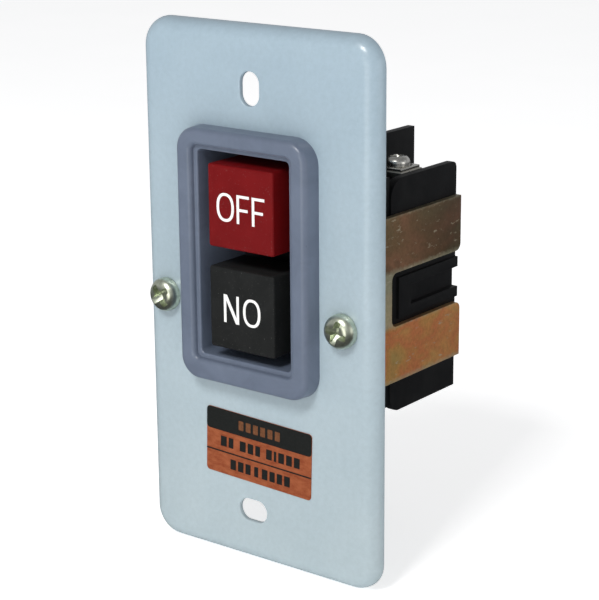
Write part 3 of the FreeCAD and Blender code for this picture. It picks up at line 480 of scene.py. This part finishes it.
def ring(half_x, half_z, radius, y, centre=(0.0, 0.0)):
    """A rounded rectangle square to Y, anticlockwise as seen from the front."""
    points = []
    for side_x, side_z, start in ((1, -1, -90.0), (1, 1, 0.0), (-1, 1, 90.0), (-1, -1, 180.0)):
        for step in range(ARC_STEPS + 1):
            angle = math.radians(start + 90.0 * step / ARC_STEPS)
            x = centre[0] + side_x * (half_x - radius) + radius * math.cos(angle)
            z = centre[1] + side_z * (half_z - radius) + radius * math.sin(angle)
            points.append((x, y, z))
    return points


def circle(radius, y, centre=(0.0, 0.0), count=48):
    turn = 2 * math.pi / count
    return [
        (centre[0] + radius * math.cos(i * turn), y, centre[1] + radius * math.sin(i * turn)) for i in range(count)
    ]


def quarter(steps=EDGE_STEPS):
    """(in, along) shares of a quarter round, from its start on one face to its end on the other."""
    return [
        (1 - math.cos(math.pi / 2 * step / steps), math.sin(math.pi / 2 * step / steps)) for step in range(steps + 1)
    ]


def loft(bm, rings, closed=False):
    """Skins rings of points and returns their vertices, ring by ring."""
    made = [[bm.verts.new(point) for point in points] for points in rings]
    pairs = list(zip(made, made[1:]))
    if closed:
        pairs.append((made[-1], made[0]))
    for low, high in pairs:
        for i in range(len(low)):
            j = (i + 1) % len(low)
            bm.faces.new((low[i], low[j], high[j], high[i]))
    return made


def loop_edges(bm, loop):
    edges = []
    for i, vert in enumerate(loop):
        following = loop[(i + 1) % len(loop)]
        edges.append(bm.edges.get((vert, following)) or bm.edges.new((vert, following)))
    return edges


def fill_panel(bm, outline, holes=()):
    """A flat face between an outline and the holes in it."""
    edges = loop_edges(bm, outline)
    for hole in holes:
        edges += loop_edges(bm, hole)
    bmesh.ops.triangle_fill(bm, use_beauty=True, edges=edges)


def lathe(bm, profile, centre, count=64):
    """Turns (radius, y) points about an axis along Y; a radius of 0 closes an end."""
    rings = [circle(radius, y, centre, count) for radius, y in profile if radius > 0]
    made = loft(bm, rings)
    if profile[0][0] == 0:
        bm.faces.new(made[0])
    if profile[-1][0] == 0:
        bm.faces.new(made[-1])
    return made


def from_cad(node, edge=0.2, segments=3):
    """The CAD node's shape with its sharp edges rounded, ready to become a piece."""
    bm = bmesh.new()
    bm.from_mesh(nodes[node].data)
    bmesh.ops.scale(bm, vec=(1 / MM, 1 / MM, 1 / MM), verts=bm.verts)
    bmesh.ops.remove_doubles(bm, verts=bm.verts, dist=0.002)
    bmesh.ops.dissolve_limit(
        bm, angle_limit=math.radians(1.0), use_dissolve_boundaries=False, verts=bm.verts, edges=bm.edges,
    )
    sharp = [e for e in bm.edges if len(e.link_faces) == 2 and e.calc_face_angle() > SHARP_ANGLE]
    bmesh.ops.bevel(
        bm, geom=sharp, offset=edge, offset_type="OFFSET", segments=segments, profile=0.5,
        affect="EDGES", clamp_overlap=True, miter_outer="SHARP", harden_normals=False,
    )
    return bm


def cut_away(bm, cutter):
    """Takes one closed mesh out of another."""
    objects = []
    for name, source in (("cut_base", bm), ("cut_tool", cutter)):
        mesh = bpy.data.meshes.new(name)
        bmesh.ops.recalc_face_normals(source, faces=source.faces)
        source.to_mesh(mesh)
        objects.append(bpy.data.objects.new(name, mesh))
        bpy.context.scene.collection.objects.link(objects[-1])
    base, tool = objects
    modifier = base.modifiers.new("cut", "BOOLEAN")
    modifier.operation = "DIFFERENCE"
    modifier.object = tool
    modifier.solver = "EXACT"
    bpy.context.view_layer.update()
    rest = base.evaluated_get(bpy.context.evaluated_depsgraph_get()).to_mesh()
    bm.clear()
    bm.from_mesh(rest)
    cutter.free()
    for item in objects:
        bpy.data.meshes.remove(item.data)
    return bm


# ---------------------------------------------------------------- wall plate

PLATE_CORNER = 5.8
PLATE_ROLL = 3.0
PLATE_SHEET = 1.0
RIM_EDGE = 0.2
PUNCH_EDGE = 0.22
WINDOW = (12.5, 21.7, 2.4)
SCREW_HOLE = 2.2
POLE_PITCH = 11.7
LOWER_SLOT_HALF = 3.4          # half the level fixing slot's length


def plate_holes(grow, y):
    """The plate's openings at one level, each larger all round by grow."""
    upper = mounts["upper_fixing_slot"]
    lower = mounts["lower_fixing_slot"]
    slot_half_width = upper["dims"]["hole_r_mm"] + grow
    upper_half_length = upper["dims"]["slot_length_mm"] / 2 + grow
    lower_half_length = LOWER_SLOT_HALF + grow
    window_half_x, window_half_z, window_corner = WINDOW
    return [
        ring(window_half_x + grow, window_half_z + grow, window_corner + grow, y, (0.0, WELL_Z)),
        ring(slot_half_width, upper_half_length, slot_half_width - 0.001, y,
             (upper["pos_m"][0] / MM, upper["pos_m"][2] / MM)),
        ring(lower_half_length, slot_half_width, slot_half_width - 0.001, y,
             (lower["pos_m"][0] / MM, lower["pos_m"][2] / MM)),
        circle(SCREW_HOLE + grow, y, (SCREW_X, SCREW_Z)),
        circle(SCREW_HOLE + grow, y, (-SCREW_X, SCREW_Z)),
    ]


def make_plate():
    """One pressed sheet: rolled outside and in, with punched openings whose front edges are drawn in."""
    bm = bmesh.new()
    half_x, half_z = (PLATE_HIGH.x - PLATE_LOW.x) / 2, (PLATE_HIGH.z - PLATE_LOW.z) / 2
    middle = (PLATE_HIGH.x - half_x, PLATE_HIGH.z - half_z)
    flat_y = FRONT_Y
    back_y = flat_y + PLATE_SHEET
    roll_y = flat_y + PLATE_ROLL

    def outline(inset, y):
        return ring(half_x - inset, half_z - inset, PLATE_CORNER - inset, y, middle)

    inner_roll = PLATE_ROLL - PLATE_SHEET
    inner = [
        outline(PLATE_SHEET + inner_roll * inward, roll_y - inner_roll * along) for inward, along in quarter(12)
    ]
    outer = [outline(PLATE_ROLL * inward, roll_y - PLATE_ROLL * along) for inward, along in quarter(16)]
    rim_out = [outline(RIM_EDGE * (1 - along), -RIM_EDGE * inward) for inward, along in quarter()]
    rim_in = [outline(PLATE_SHEET - RIM_EDGE * (1 - along), -RIM_EDGE * inward) for inward, along in quarter()]
    rings = inner[::-1] + rim_in[::-1] + rim_out + outer
    made = loft(bm, rings)
    front_holes, back_holes = [], []
    levels = [(PUNCH_EDGE * (1 - along), flat_y + PUNCH_EDGE * inward) for inward, along in quarter()]
    levels += [(0.0, back_y - 0.08), (0.05, back_y)]
    stacks = [plate_holes(grow, y) for grow, y in levels]
    for hole_index in range(len(stacks[0])):
        walls = loft(bm, [stack[hole_index] for stack in stacks])
        front_holes.append(walls[0])
        back_holes.append(walls[-1])
    fill_panel(bm, made[-1], front_holes)
    fill_panel(bm, made[0], back_holes)
    return add_piece("pressed_plate", bm, "plate_enamel", "housing", ["face_plate"])


# ---------------------------------------------------------------- rating label

LABEL_HALF = (13.0, 6.75)
LABEL_CORNER = 0.8
LABEL_SHEET = 0.15
LABEL_PLACE = (1.0, -29.1)
LABEL_TILT = 1.8
PRINT_THICK = 0.02


def label_point(x, depth, z):
    """A point of the label from its own centre, in the tilted label's place on the plate."""
    angle = math.radians(LABEL_TILT)
    turned_x = x * math.cos(angle) + z * math.sin(angle)
    turned_z = -x * math.sin(angle) + z * math.cos(angle)
    return (LABEL_PLACE[0] + turned_x, FRONT_Y - depth, LABEL_PLACE[1] + turned_z)


def print_patch(bm, low_x, high_x, low_z, high_z, corner=0.12):
    """A thin printed rectangle on the label."""
    centre = ((low_x + high_x) / 2, (low_z + high_z) / 2)
    half_x, half_z = (high_x - low_x) / 2, (high_z - low_z) / 2
    rings = []
    for depth in (LABEL_SHEET, LABEL_SHEET + PRINT_THICK):
        flat = ring(half_x, half_z, corner, 0.0, centre)
        rings.append([label_point(x, depth, z) for x, _, z in flat])
    made = loft(bm, rings)
    bm.faces.new(made[0])
    bm.faces.new(made[-1])


def make_label():
    """Foil with a dark band over two orange rows; plain bars stand where a rating would be printed."""
    bm = bmesh.new()
    rings = []
    for grow, depth in ((0.0, 0.0), (0.0, LABEL_SHEET - 0.05), (-0.05, LABEL_SHEET)):
        flat = ring(LABEL_HALF[0] + grow, LABEL_HALF[1] + grow, LABEL_CORNER, 0.0)
        rings.append([label_point(x, depth, z) for x, _, z in flat])
    made = loft(bm, rings)
    bm.faces.new(made[0])
    bm.faces.new(made[-1])
    add_piece("label_base", bm, "label_foil", "housing", ["rating_label"])

    band_low = 2.2
    edge_x, edge_z = LABEL_HALF[0] - 0.02, LABEL_HALF[1] - 0.02
    dark = bmesh.new()
    print_patch(dark, -edge_x, edge_x, band_low, edge_z, LABEL_CORNER)
    print_patch(dark, -edge_x, edge_x, -2.25, -1.95)
    rows = {
        "upper": (-0.95, 1.15, ((-9.4, -7.9), (-7.4, -6.2), (-4.6, -3.1), (-2.6, -1.2), (-0.7, 0.5), (2.0, 3.4),
                                (3.9, 4.5), (5.0, 6.4), (6.9, 8.3), (8.8, 10.2))),
        "lower": (-5.35, -3.25, ((-6.9, -5.5), (-5.0, -3.6), (-3.1, -1.8), (-0.9, 0.1), (1.0, 2.4), (2.9, 4.2),
                                 (4.7, 6.0), (6.5, 7.9))),
    }
    for low, high, bars in rows.values():
        for left, right in bars:
            print_patch(dark, left, right, low, high)
    add_piece("label_print", dark, "label_foil", "housing", material=DARK_INK)

    faint = bmesh.new()
    for left, right in ((-4.9, -3.7), (-3.1, -1.9), (-1.3, -0.1), (0.5, 1.7), (2.3, 3.5), (4.1, 5.3)):
        bottom = len(faint.verts)
        print_patch(faint, left, right, 3.4, 5.3)
        faint.verts.ensure_lookup_table()
        for vert in faint.verts[bottom:]:
            vert.co.y -= PRINT_THICK
    add_piece("label_faint_print", faint, "label_foil", "housing", material=FAINT_INK)


# ---------------------------------------------------------------- bezel

BEZEL_CORNER = 5.0
BEZEL_FRONT_CORNER = 4.2
BEZEL_LEAN = (0.6, 0.25)       # how far the sides lean in over the rise, along X and along Z
BEZEL_SOFT = 1.1
MOUTH = (11.8, 21.0, 1.2)
MOUTH_STEP = 1.2
WELL = (10.9, 20.1, 0.9)
SLEEVE = (12.3, 21.5, 2.2)
LIP_EDGE = 0.34
MOUTH_SOFT = 0.9               # the wide rounding where the frame turns into its mouth


def make_bezel():
    """A closed moulding: leaning sides, soft front edge, stepped mouth, deep well and the sleeve behind."""
    bm = bmesh.new()
    top_y = BEZEL_LOW.y
    half_x, half_z = (BEZEL_HIGH.x - BEZEL_LOW.x) / 2, (BEZEL_HIGH.z - BEZEL_LOW.z) / 2
    middle = (BEZEL_HIGH.x - half_x, BEZEL_HIGH.z - half_z)
    centre = (0.0, WELL_Z)
    rise = FRONT_Y - top_y

    def outline(inset, y):
        share = (FRONT_Y - y) / rise
        corner = BEZEL_CORNER + (BEZEL_FRONT_CORNER - BEZEL_CORNER) * share
        lean_x, lean_z = (lean * share for lean in BEZEL_LEAN)
        return ring(half_x - lean_x - inset, half_z - lean_z - inset, corner - inset, y, middle)

    def lip(shape, grow, y):
        return ring(shape[0] + grow, shape[1] + grow, shape[2] + max(grow, -0.3), y, centre)

    rings = [outline(0.0, FRONT_Y), outline(0.02, FRONT_Y - 0.25)]
    for inward, along in quarter(8):
        rings.append(outline(BEZEL_SOFT * inward, top_y + BEZEL_SOFT * (1 - along)))
    edge = LIP_EDGE
    step_y = top_y + MOUTH_STEP
    for inward, along in quarter(8):
        rings.append(lip(MOUTH, MOUTH_SOFT * (1 - along), top_y + MOUTH_SOFT * inward))
    rings.append(lip(MOUTH, 0.0, step_y - 0.12))
    rings.append(lip(MOUTH, -0.04, step_y - 0.03))
    rings.append(lip(MOUTH, -0.12, step_y))
    for inward, along in quarter():
        rings.append(lip(WELL, edge * (1 - along), step_y + edge * inward))
    rings.append(lip(WELL, 0.0, BEZEL_HIGH.y))
    rings.append(ring(*SLEEVE, BEZEL_HIGH.y, centre))
    rings.append(ring(*SLEEVE, FRONT_Y, centre))
    loft(bm, rings, closed=True)
    return add_piece("bezel_moulding", bm, "bezel_plastic", "housing", ["bezel"])


# ---------------------------------------------------------------- buttons and their legends

CAP_EDGE = 0.45
CAP_WALL = 1.3
CAP_FACE = 1.6
BOSS_RADIUS = 4.0
SOCKET_RADIUS = 2.5
LETTER_PROUD = 0.03
LETTER_TALL = 5.5
LETTER_WIDE = {"O": 4.2, "F": 3.0, "N": 3.7}
UPRIGHT = 0.60                 # a letter's upright stroke
CROSS = 0.54                   # and its level one


def make_cap(name, node, slot, body, low, high):
    """A hollow cap with softened edges and the boss inside that takes its plunger."""
    bm = bmesh.new()
    centre = ((low.x + high.x) / 2, (low.z + high.z) / 2)
    half_x, half_z = (high.x - low.x) / 2, (high.z - low.z) / 2

    def outline(inset, y, corner):
        return ring(half_x - inset, half_z - inset, corner, y, centre)

    rings = []
    for inward, along in quarter():
        inset = CAP_EDGE * (1 - along)
        rings.append(outline(inset, low.y + CAP_EDGE * inward, CAP_EDGE + 0.05 - inset + 0.02))
    rings.append(outline(0.0, high.y - 0.1, CAP_EDGE + 0.07))
    rings.append(outline(0.1, high.y, CAP_EDGE + 0.05))
    rings.append(outline(CAP_WALL - 0.1, high.y, 0.4))
    rings.append(outline(CAP_WALL, high.y - 0.1, 0.4))
    inside_y = low.y + CAP_FACE
    rings.append(outline(CAP_WALL, inside_y, 0.4))
    made = loft(bm, rings)
    bm.faces.new(made[0])
    boss_rear = low.y + 7.6
    socket_floor = low.y + 2.6
    boss = loft(bm, [
        circle(BOSS_RADIUS, inside_y, centre), circle(BOSS_RADIUS, boss_rear - 0.15, centre),
        circle(BOSS_RADIUS - 0.15, boss_rear, centre), circle(SOCKET_RADIUS, boss_rear, centre),
        circle(SOCKET_RADIUS, socket_floor, centre),
    ])
    fill_panel(bm, made[-1], [boss[0]])
    bm.faces.new(boss[-1])
    return add_piece(name, bm, slot, body, [node])


def letter_outlines(letter):
    """A letter's closed outlines from its lower left corner; the second one, if any, is its inside."""
    wide, tall = LETTER_WIDE[letter], LETTER_TALL
    if letter == "F":
        arm = tall * 0.53
        return [[
            (0, 0), (UPRIGHT, 0), (UPRIGHT, arm - CROSS), (wide * 0.88, arm - CROSS), (wide * 0.88, arm),
            (UPRIGHT, arm), (UPRIGHT, tall - CROSS), (wide, tall - CROSS), (wide, tall), (0, tall),
        ]]
    if letter == "N":
        slant = UPRIGHT * 1.32
        return [[
            (0, 0), (UPRIGHT, 0), (UPRIGHT, tall - slant * 1.45), (wide - slant, 0), (wide, 0), (wide, tall),
            (wide - UPRIGHT, tall), (wide - UPRIGHT, slant * 1.45), (slant, tall), (0, tall),
        ]]
    outlines = []
    for stroke_x, stroke_z in ((0.0, 0.0), (UPRIGHT, CROSS)):
        outline = []
        for i in range(48):
            angle = 2 * math.pi * i / 48
            across, up = math.cos(angle), math.sin(angle)
            flat = 0.86            # a little squarer than an ellipse
            x = wide / 2 + (wide / 2 - stroke_x) * math.copysign(abs(across) ** flat, across)
            z = tall / 2 + (tall / 2 - stroke_z) * math.copysign(abs(up) ** flat, up)
            outline.append((x, z))
        outlines.append(outline)
    return outlines


def raise_letter(bm, outlines, left, y):
    """Builds one letter as a thin closed slab standing just proud of the cap's face."""
    levels = [[
        [bm.verts.new((left + x, level, z - LETTER_TALL / 2)) for x, z in outline] for outline in outlines
    ] for level in (y - LETTER_PROUD, y + LETTER_PROUD)]
    for front, rear in zip(*levels):
        for i in range(len(front)):
            j = (i + 1) % len(front)
            bm.faces.new((front[i], front[j], rear[j], rear[i]))
    for loops in levels:
        if len(loops) == 1:
            bm.faces.new(loops[0])
        else:
            outer, inner = loops
            for i in range(len(outer)):
                j = (i + 1) % len(outer)
                bm.faces.new((outer[i], outer[j], inner[j], inner[i]))


def make_legend(name, body, slot, y, place, letters, gap, upside_down=False):
    """Letters in white, filled flush into the cap's face."""
    bm = bmesh.new()
    length = sum(LETTER_WIDE[letter] for letter in letters) + gap * (len(letters) - 1)
    left = -length / 2
    for letter in letters:
        raise_letter(bm, letter_outlines(letter), left, y)
        left += LETTER_WIDE[letter] + gap
    if upside_down:
        bmesh.ops.rotate(bm, cent=(0, 0, 0), matrix=Matrix.Rotation(math.pi, 3, "Y"), verts=bm.verts)
    bmesh.ops.translate(bm, vec=(place[0], 0.0, place[1]), verts=bm.verts)
    return add_piece(name, bm, slot, body, material=WHITE_INK)


# ---------------------------------------------------------------- screws

def thread_rings(outer, root, pitch, start_y, end_y, centre, per_turn=36, steps=8):
    """Rings of a screw thread along Y, with a tapered last turn."""
    rings = []
    count = max(2, int(abs(end_y - start_y) / pitch * steps))
    for i in range(count + 1):
        y = start_y + (end_y - start_y) * i / count
        left = abs(end_y - y)
        point_in = 0.75 * max(0.0, 1 - left / pitch) * (outer - root) * 1.6
        points = []
        for k in range(per_turn):
            angle = 2 * math.pi * k / per_turn
            phase = (y / pitch - k / per_turn) % 1.0
            crest = 1 - abs(2 * phase - 1)
            radius = root + (outer - root) * min(1.0, crest * 1.25) - point_in
            points.append((centre[0] + radius * math.cos(angle), y, centre[1] + radius * math.sin(angle)))
        rings.append(points)
    return rings


def cross_recess(centre, front_y, arm, half_width, depth):
    """A tapering four-armed recess, open towards -Y, as a closed mesh."""
    bm = bmesh.new()
    levels = ((front_y - 0.6, 1.12), (front_y + depth * 0.55, 0.72), (front_y + depth, 0.30))
    outline = []
    for quarter_turn in range(4):
        angle = quarter_turn * math.pi / 2
        along = (math.cos(angle), math.sin(angle))
        across = (-along[1], along[0])
        waist = half_width * 1.25
        outline += [
            (arm, -half_width, along, across), (arm * 1.03, 0.0, along, across), (arm, half_width, along, across),
            (waist, waist, along, across),
        ]
    rings = []
    for y, share in levels:
        points = []
        for forward, side, along, across in outline:
            reach = forward * share
            width = side * (0.65 + 0.35 * share)
            if forward < arm:
                reach = width = forward * (0.65 + 0.35 * share)
            x = centre[0] + along[0] * reach + across[0] * width
            z = centre[1] + along[1] * reach + across[1] * width
            points.append((x, y, z))
        rings.append(points)
    made = loft(bm, rings)
    bm.faces.new(made[0])
    bm.faces.new(made[-1])
    return bm


def pan_head(centre, front_y, seat_y, radius, arm, arm_half, recess_depth, turn):
    """A pan head with a cross recess; its dome is a flattened round."""
    bm = bmesh.new()
    height = seat_y - front_y
    crown = height * 0.66
    profile = [(0.0, front_y)]
    steps = 12
    flat = radius * 0.46
    for step in range(steps + 1):
        angle = math.pi / 2 * step / steps
        share = math.sin(angle) ** 0.9
        profile.append((flat + (radius - flat) * share, front_y + crown * (1 - math.cos(angle)) ** 0.95))
    profile.append((radius, seat_y - 0.12))
    profile.append((radius - 0.12, seat_y))
    profile.append((0.0, seat_y))
    lathe(bm, profile, centre)
    cut_away(bm, cross_recess(centre, front_y, arm, arm_half, recess_depth))
    spin = Matrix.Rotation(math.radians(turn), 3, "Y")
    bmesh.ops.rotate(bm, cent=(centre[0], 0, centre[1]), matrix=spin, verts=bm.verts)
    return bm


def append_mesh(target, source):
    mesh = bpy.data.meshes.new("part")
    source.to_mesh(mesh)
    source.free()
    target.from_mesh(mesh)
    bpy.data.meshes.remove(mesh)


def shank(bm, centre, outer, pitch, start_y, end_y):
    root = outer - pitch * 0.61
    rings = thread_rings(outer, root, pitch, start_y, end_y, centre)
    made = loft(bm, rings)
    bm.faces.new(made[0])
    bm.faces.new(made[-1])


def make_plate_screws():
    whole = bmesh.new()
    for side, turn in ((1, 18.0), (-1, 52.0)):
        centre = (side * SCREW_X, SCREW_Z)
        append_mesh(whole, pan_head(centre, SCREW_LOW.y, FRONT_Y, SCREW_RADIUS, 2.5, 0.60, 1.7, turn))
        shank(whole, centre, 2.0, 0.7, FRONT_Y - 0.05, SCREW_HIGH.y)
    return add_piece("plate_pan_screws", whole, "screw_zinc", "housing", ["plate_screws"])


def turned(bm, towards):
    """Turns a mesh built to face -Y so that it faces up (1) or down (-1)."""
    bmesh.ops.rotate(bm, cent=(0, 0, 0), matrix=Matrix.Rotation(-towards * math.pi / 2, 3, "X"), verts=bm.verts)
    return bm


def make_terminal_screws(row, towards):
    """A row's three clamp screws, their cross recesses at chance angles."""
    low, high = box_mm(f"{row}_terminal_screws")
    seats = box_mm(f"{row}_wire_clamps")
    tip, top = (low.z, high.z) if towards > 0 else (high.z, low.z)
    seat = seats[1].z if towards > 0 else seats[0].z
    middle_y = (low.y + high.y) / 2
    whole = bmesh.new()
    for x, turn in ((-POLE_PITCH, 14.0), (0.0, 63.0), (POLE_PITCH, 38.0)):
        one = pan_head((0.0, 0.0), -abs(top), -abs(seat), 2.6, 1.45, 0.34, 1.15, turn)
        shank(one, (0.0, 0.0), 1.5, 0.5, -abs(seat) - 0.05, -abs(tip))
        turned(one, towards)
        bmesh.ops.translate(one, vec=(x, middle_y, 0.0), verts=one.verts)
        append_mesh(whole, one)
    return add_piece(f"{row}_pan_screws", whole, "nickel_steel", "housing", [f"{row}_terminal_screws"])


def make_case_screws():
    """Four slotted cheese-head screws that hold the case to the base."""
    low, high = box_mm("case_screws")
    head = 2.3
    whole = bmesh.new()
    for side_x, side_z, turn in ((1, 1, 22.0), (-1, 1, 71.0), (1, -1, 130.0), (-1, -1, 9.0)):
        centre = (side_x * (high.x - head), (low.z + high.z) / 2 + side_z * ((high.z - low.z) / 2 - head))
        seat = low.y + 1.6
        one = bmesh.new()
        lathe(one, [
            (0.0, low.y), (head - 0.25, low.y), (head - 0.08, low.y + 0.06), (head, low.y + 0.25),
            (head, seat - 0.08), (head - 0.08, seat), (0.0, seat),
        ], centre, 40)
        cutter = bmesh.new()
        half_slot, past = 0.32, 0.5
        bmesh.ops.create_cube(cutter, size=1.0, matrix=(
            Matrix.Translation((centre[0], low.y + (0.85 - past) / 2, centre[1]))
            @ Matrix.Rotation(math.radians(turn), 4, "Y")
            @ Matrix.Diagonal((2 * head + past, 0.85 + past, 2 * half_slot, 1.0))
        ))
        cut_away(one, cutter)
        shank(one, centre, 1.3, 0.45, seat - 0.05, high.y)
        append_mesh(whole, one)
    return add_piece("case_slotted_screws", whole, "bright_steel", "housing", ["case_screws"])


# ---------------------------------------------------------------- springs

SPRING_CLEAR = 0.03            # left between a contact spring and its bridge


def spring_mesh(radius, wire, turns, start, end, place):
    """A compression spring along Y from start to end, with closed end coils."""
    bm = bmesh.new()
    around = 10
    per_turn = 40
    closed = 1.0
    active = end - start - 2 * wire
    lead = 2 * wire * 1.02
    slope = (active - 2 * closed * lead) / (turns - 2 * closed)
    rings = []
    count = int(turns * per_turn)
    for i in range(count + 1):
        turn = turns * i / count
        near = min(turn, closed) * lead
        middle = max(0.0, min(turn, turns - closed) - closed) * slope
        far = max(0.0, turn - (turns - closed)) * lead
        along = start + wire + near + middle + far
        angle = 2 * math.pi * turn
        outward = Vector((math.cos(angle), 0.0, math.sin(angle)))
        centre = Vector((place[0], along, place[1])) + outward * radius
        points = []
        for k in range(around):
            section = 2 * math.pi * k / around
            point = centre + outward * wire * math.cos(section) + Vector((0, wire * math.sin(section), 0))
            points.append(tuple(point))
        rings.append(points)
    made = loft(bm, rings)
    bm.faces.new(made[0])
    bm.faces.new(made[-1])
    return bm


def make_button_springs():
    for name, body, joint, low, z in (
        ("on", "housing", "on_press", ON_LOW, AXIS_Z), ("off", "housing", "off_press", OFF_LOW, OFF_Z),
    ):
        start = low.y + CAP_FACE
        bm = spring_mesh(4.75, 0.4, 6.5, start, CASE_FRONT, (0.0, z))
        piece = add_piece(f"{name}_coil_spring", bm, "spring_steel", body, [f"{name}_return_spring"])
        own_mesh(piece)


def make_contact_springs():
    """One small spring behind each pole's bridge; the bridges stop while the carrier goes on."""
    start = box_mm("contact_carrier")[0].y + 3.6
    end = box_mm("contact_bridges")[0].y - SPRING_CLEAR
    whole = bmesh.new()
    for x in (-POLE_PITCH, 0.0, POLE_PITCH):
        append_mesh(whole, spring_mesh(1.9, 0.25, 5.0, start, end, (x, AXIS_Z)))
    piece = add_piece("contact_coil_springs", whole, "spring_steel", "on_body", ["contact_springs"])
    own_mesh(piece)


def make_latch_spring():
    floor = box_mm("mechanism_case")[0].z + 1.6
    top = box_mm("latch_plate")[0].z
    middle_y = 13.2
    bm = turned(spring_mesh(2.4, 0.3, 6.0, -top, -floor, (0.0, 0.0)), 1)
    bmesh.ops.translate(bm, vec=(0.0, middle_y, 0.0), verts=bm.verts)
    piece = add_piece("latch_coil_spring", bm, "spring_steel", "housing", ["latch_return_spring"])
    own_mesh(piece)


# ---------------------------------------------------------------- everything

def make_from_cad(node, name, slot, body, edge, segments=3):
    return add_piece(name, from_cad(node, edge, segments), slot, body, [node])


make_camera()
make_world()
make_stage()
make_plate()
make_label()
make_bezel()
make_cap("on_cap", "on_button", "black_button", "on_body", ON_LOW, ON_HIGH)
make_cap("off_cap", "off_button", "red_button", "off_body", OFF_LOW, OFF_HIGH)
make_legend("on_legend", "on_body", "black_button", ON_LOW.y, (0.1, AXIS_Z + 0.1), "ON", 1.0, upside_down=True)
make_legend("off_legend", "off_body", "red_button", OFF_LOW.y, (0.1, OFF_Z), "OFF", 0.65)
make_plate_screws()
make_terminal_screws("line", 1)
make_terminal_screws("load", -1)
make_case_screws()
make_button_springs()
make_contact_springs()
make_latch_spring()
make_from_cad("contact_base", "base_moulding", "black_phenolic", "housing", 0.25)
make_from_cad("mechanism_case", "case_moulding", "black_phenolic", "housing", 0.2)
make_from_cad("bracket_right", "right_bracket", "yellow_zinc", "housing", 0.15)
make_from_cad("bracket_left", "left_bracket", "yellow_zinc", "housing", 0.15)
for row in ("line", "load"):
    make_from_cad(f"{row}_conductors", f"{row}_strips", "nickel_brass", "housing", 0.15)
    make_from_cad(f"{row}_wire_clamps", f"{row}_washers", "nickel_steel", "housing", 0.1)
    make_from_cad(f"{row}_contact_tips", f"{row}_silver_tips", "silver", "housing", 0.2)
make_from_cad("on_plunger", "on_stem", "plunger_plastic", "on_body", 0.2)
make_from_cad("off_plunger", "off_stem", "plunger_plastic", "off_body", 0.2)
make_from_cad("contact_carrier", "carrier_moulding", "carrier_plastic", "on_body", 0.15)
make_from_cad("contact_bridges", "bridge_strips", "brass", "bridge_body", 0.15)
make_from_cad("bridge_tips", "bridge_silver_tips", "silver", "bridge_body", 0.15)
make_from_cad("latch_plate", "latch_slider", "bright_steel", "latch_body", 0.12)

slots = {entry["node"]: entry["material_slot"] for entry in frame["record"]["subparts"]}
for node, piece in nodes.items():
    piece.data.materials.clear()
    piece.data.materials.append(MATERIALS[slots[node]])
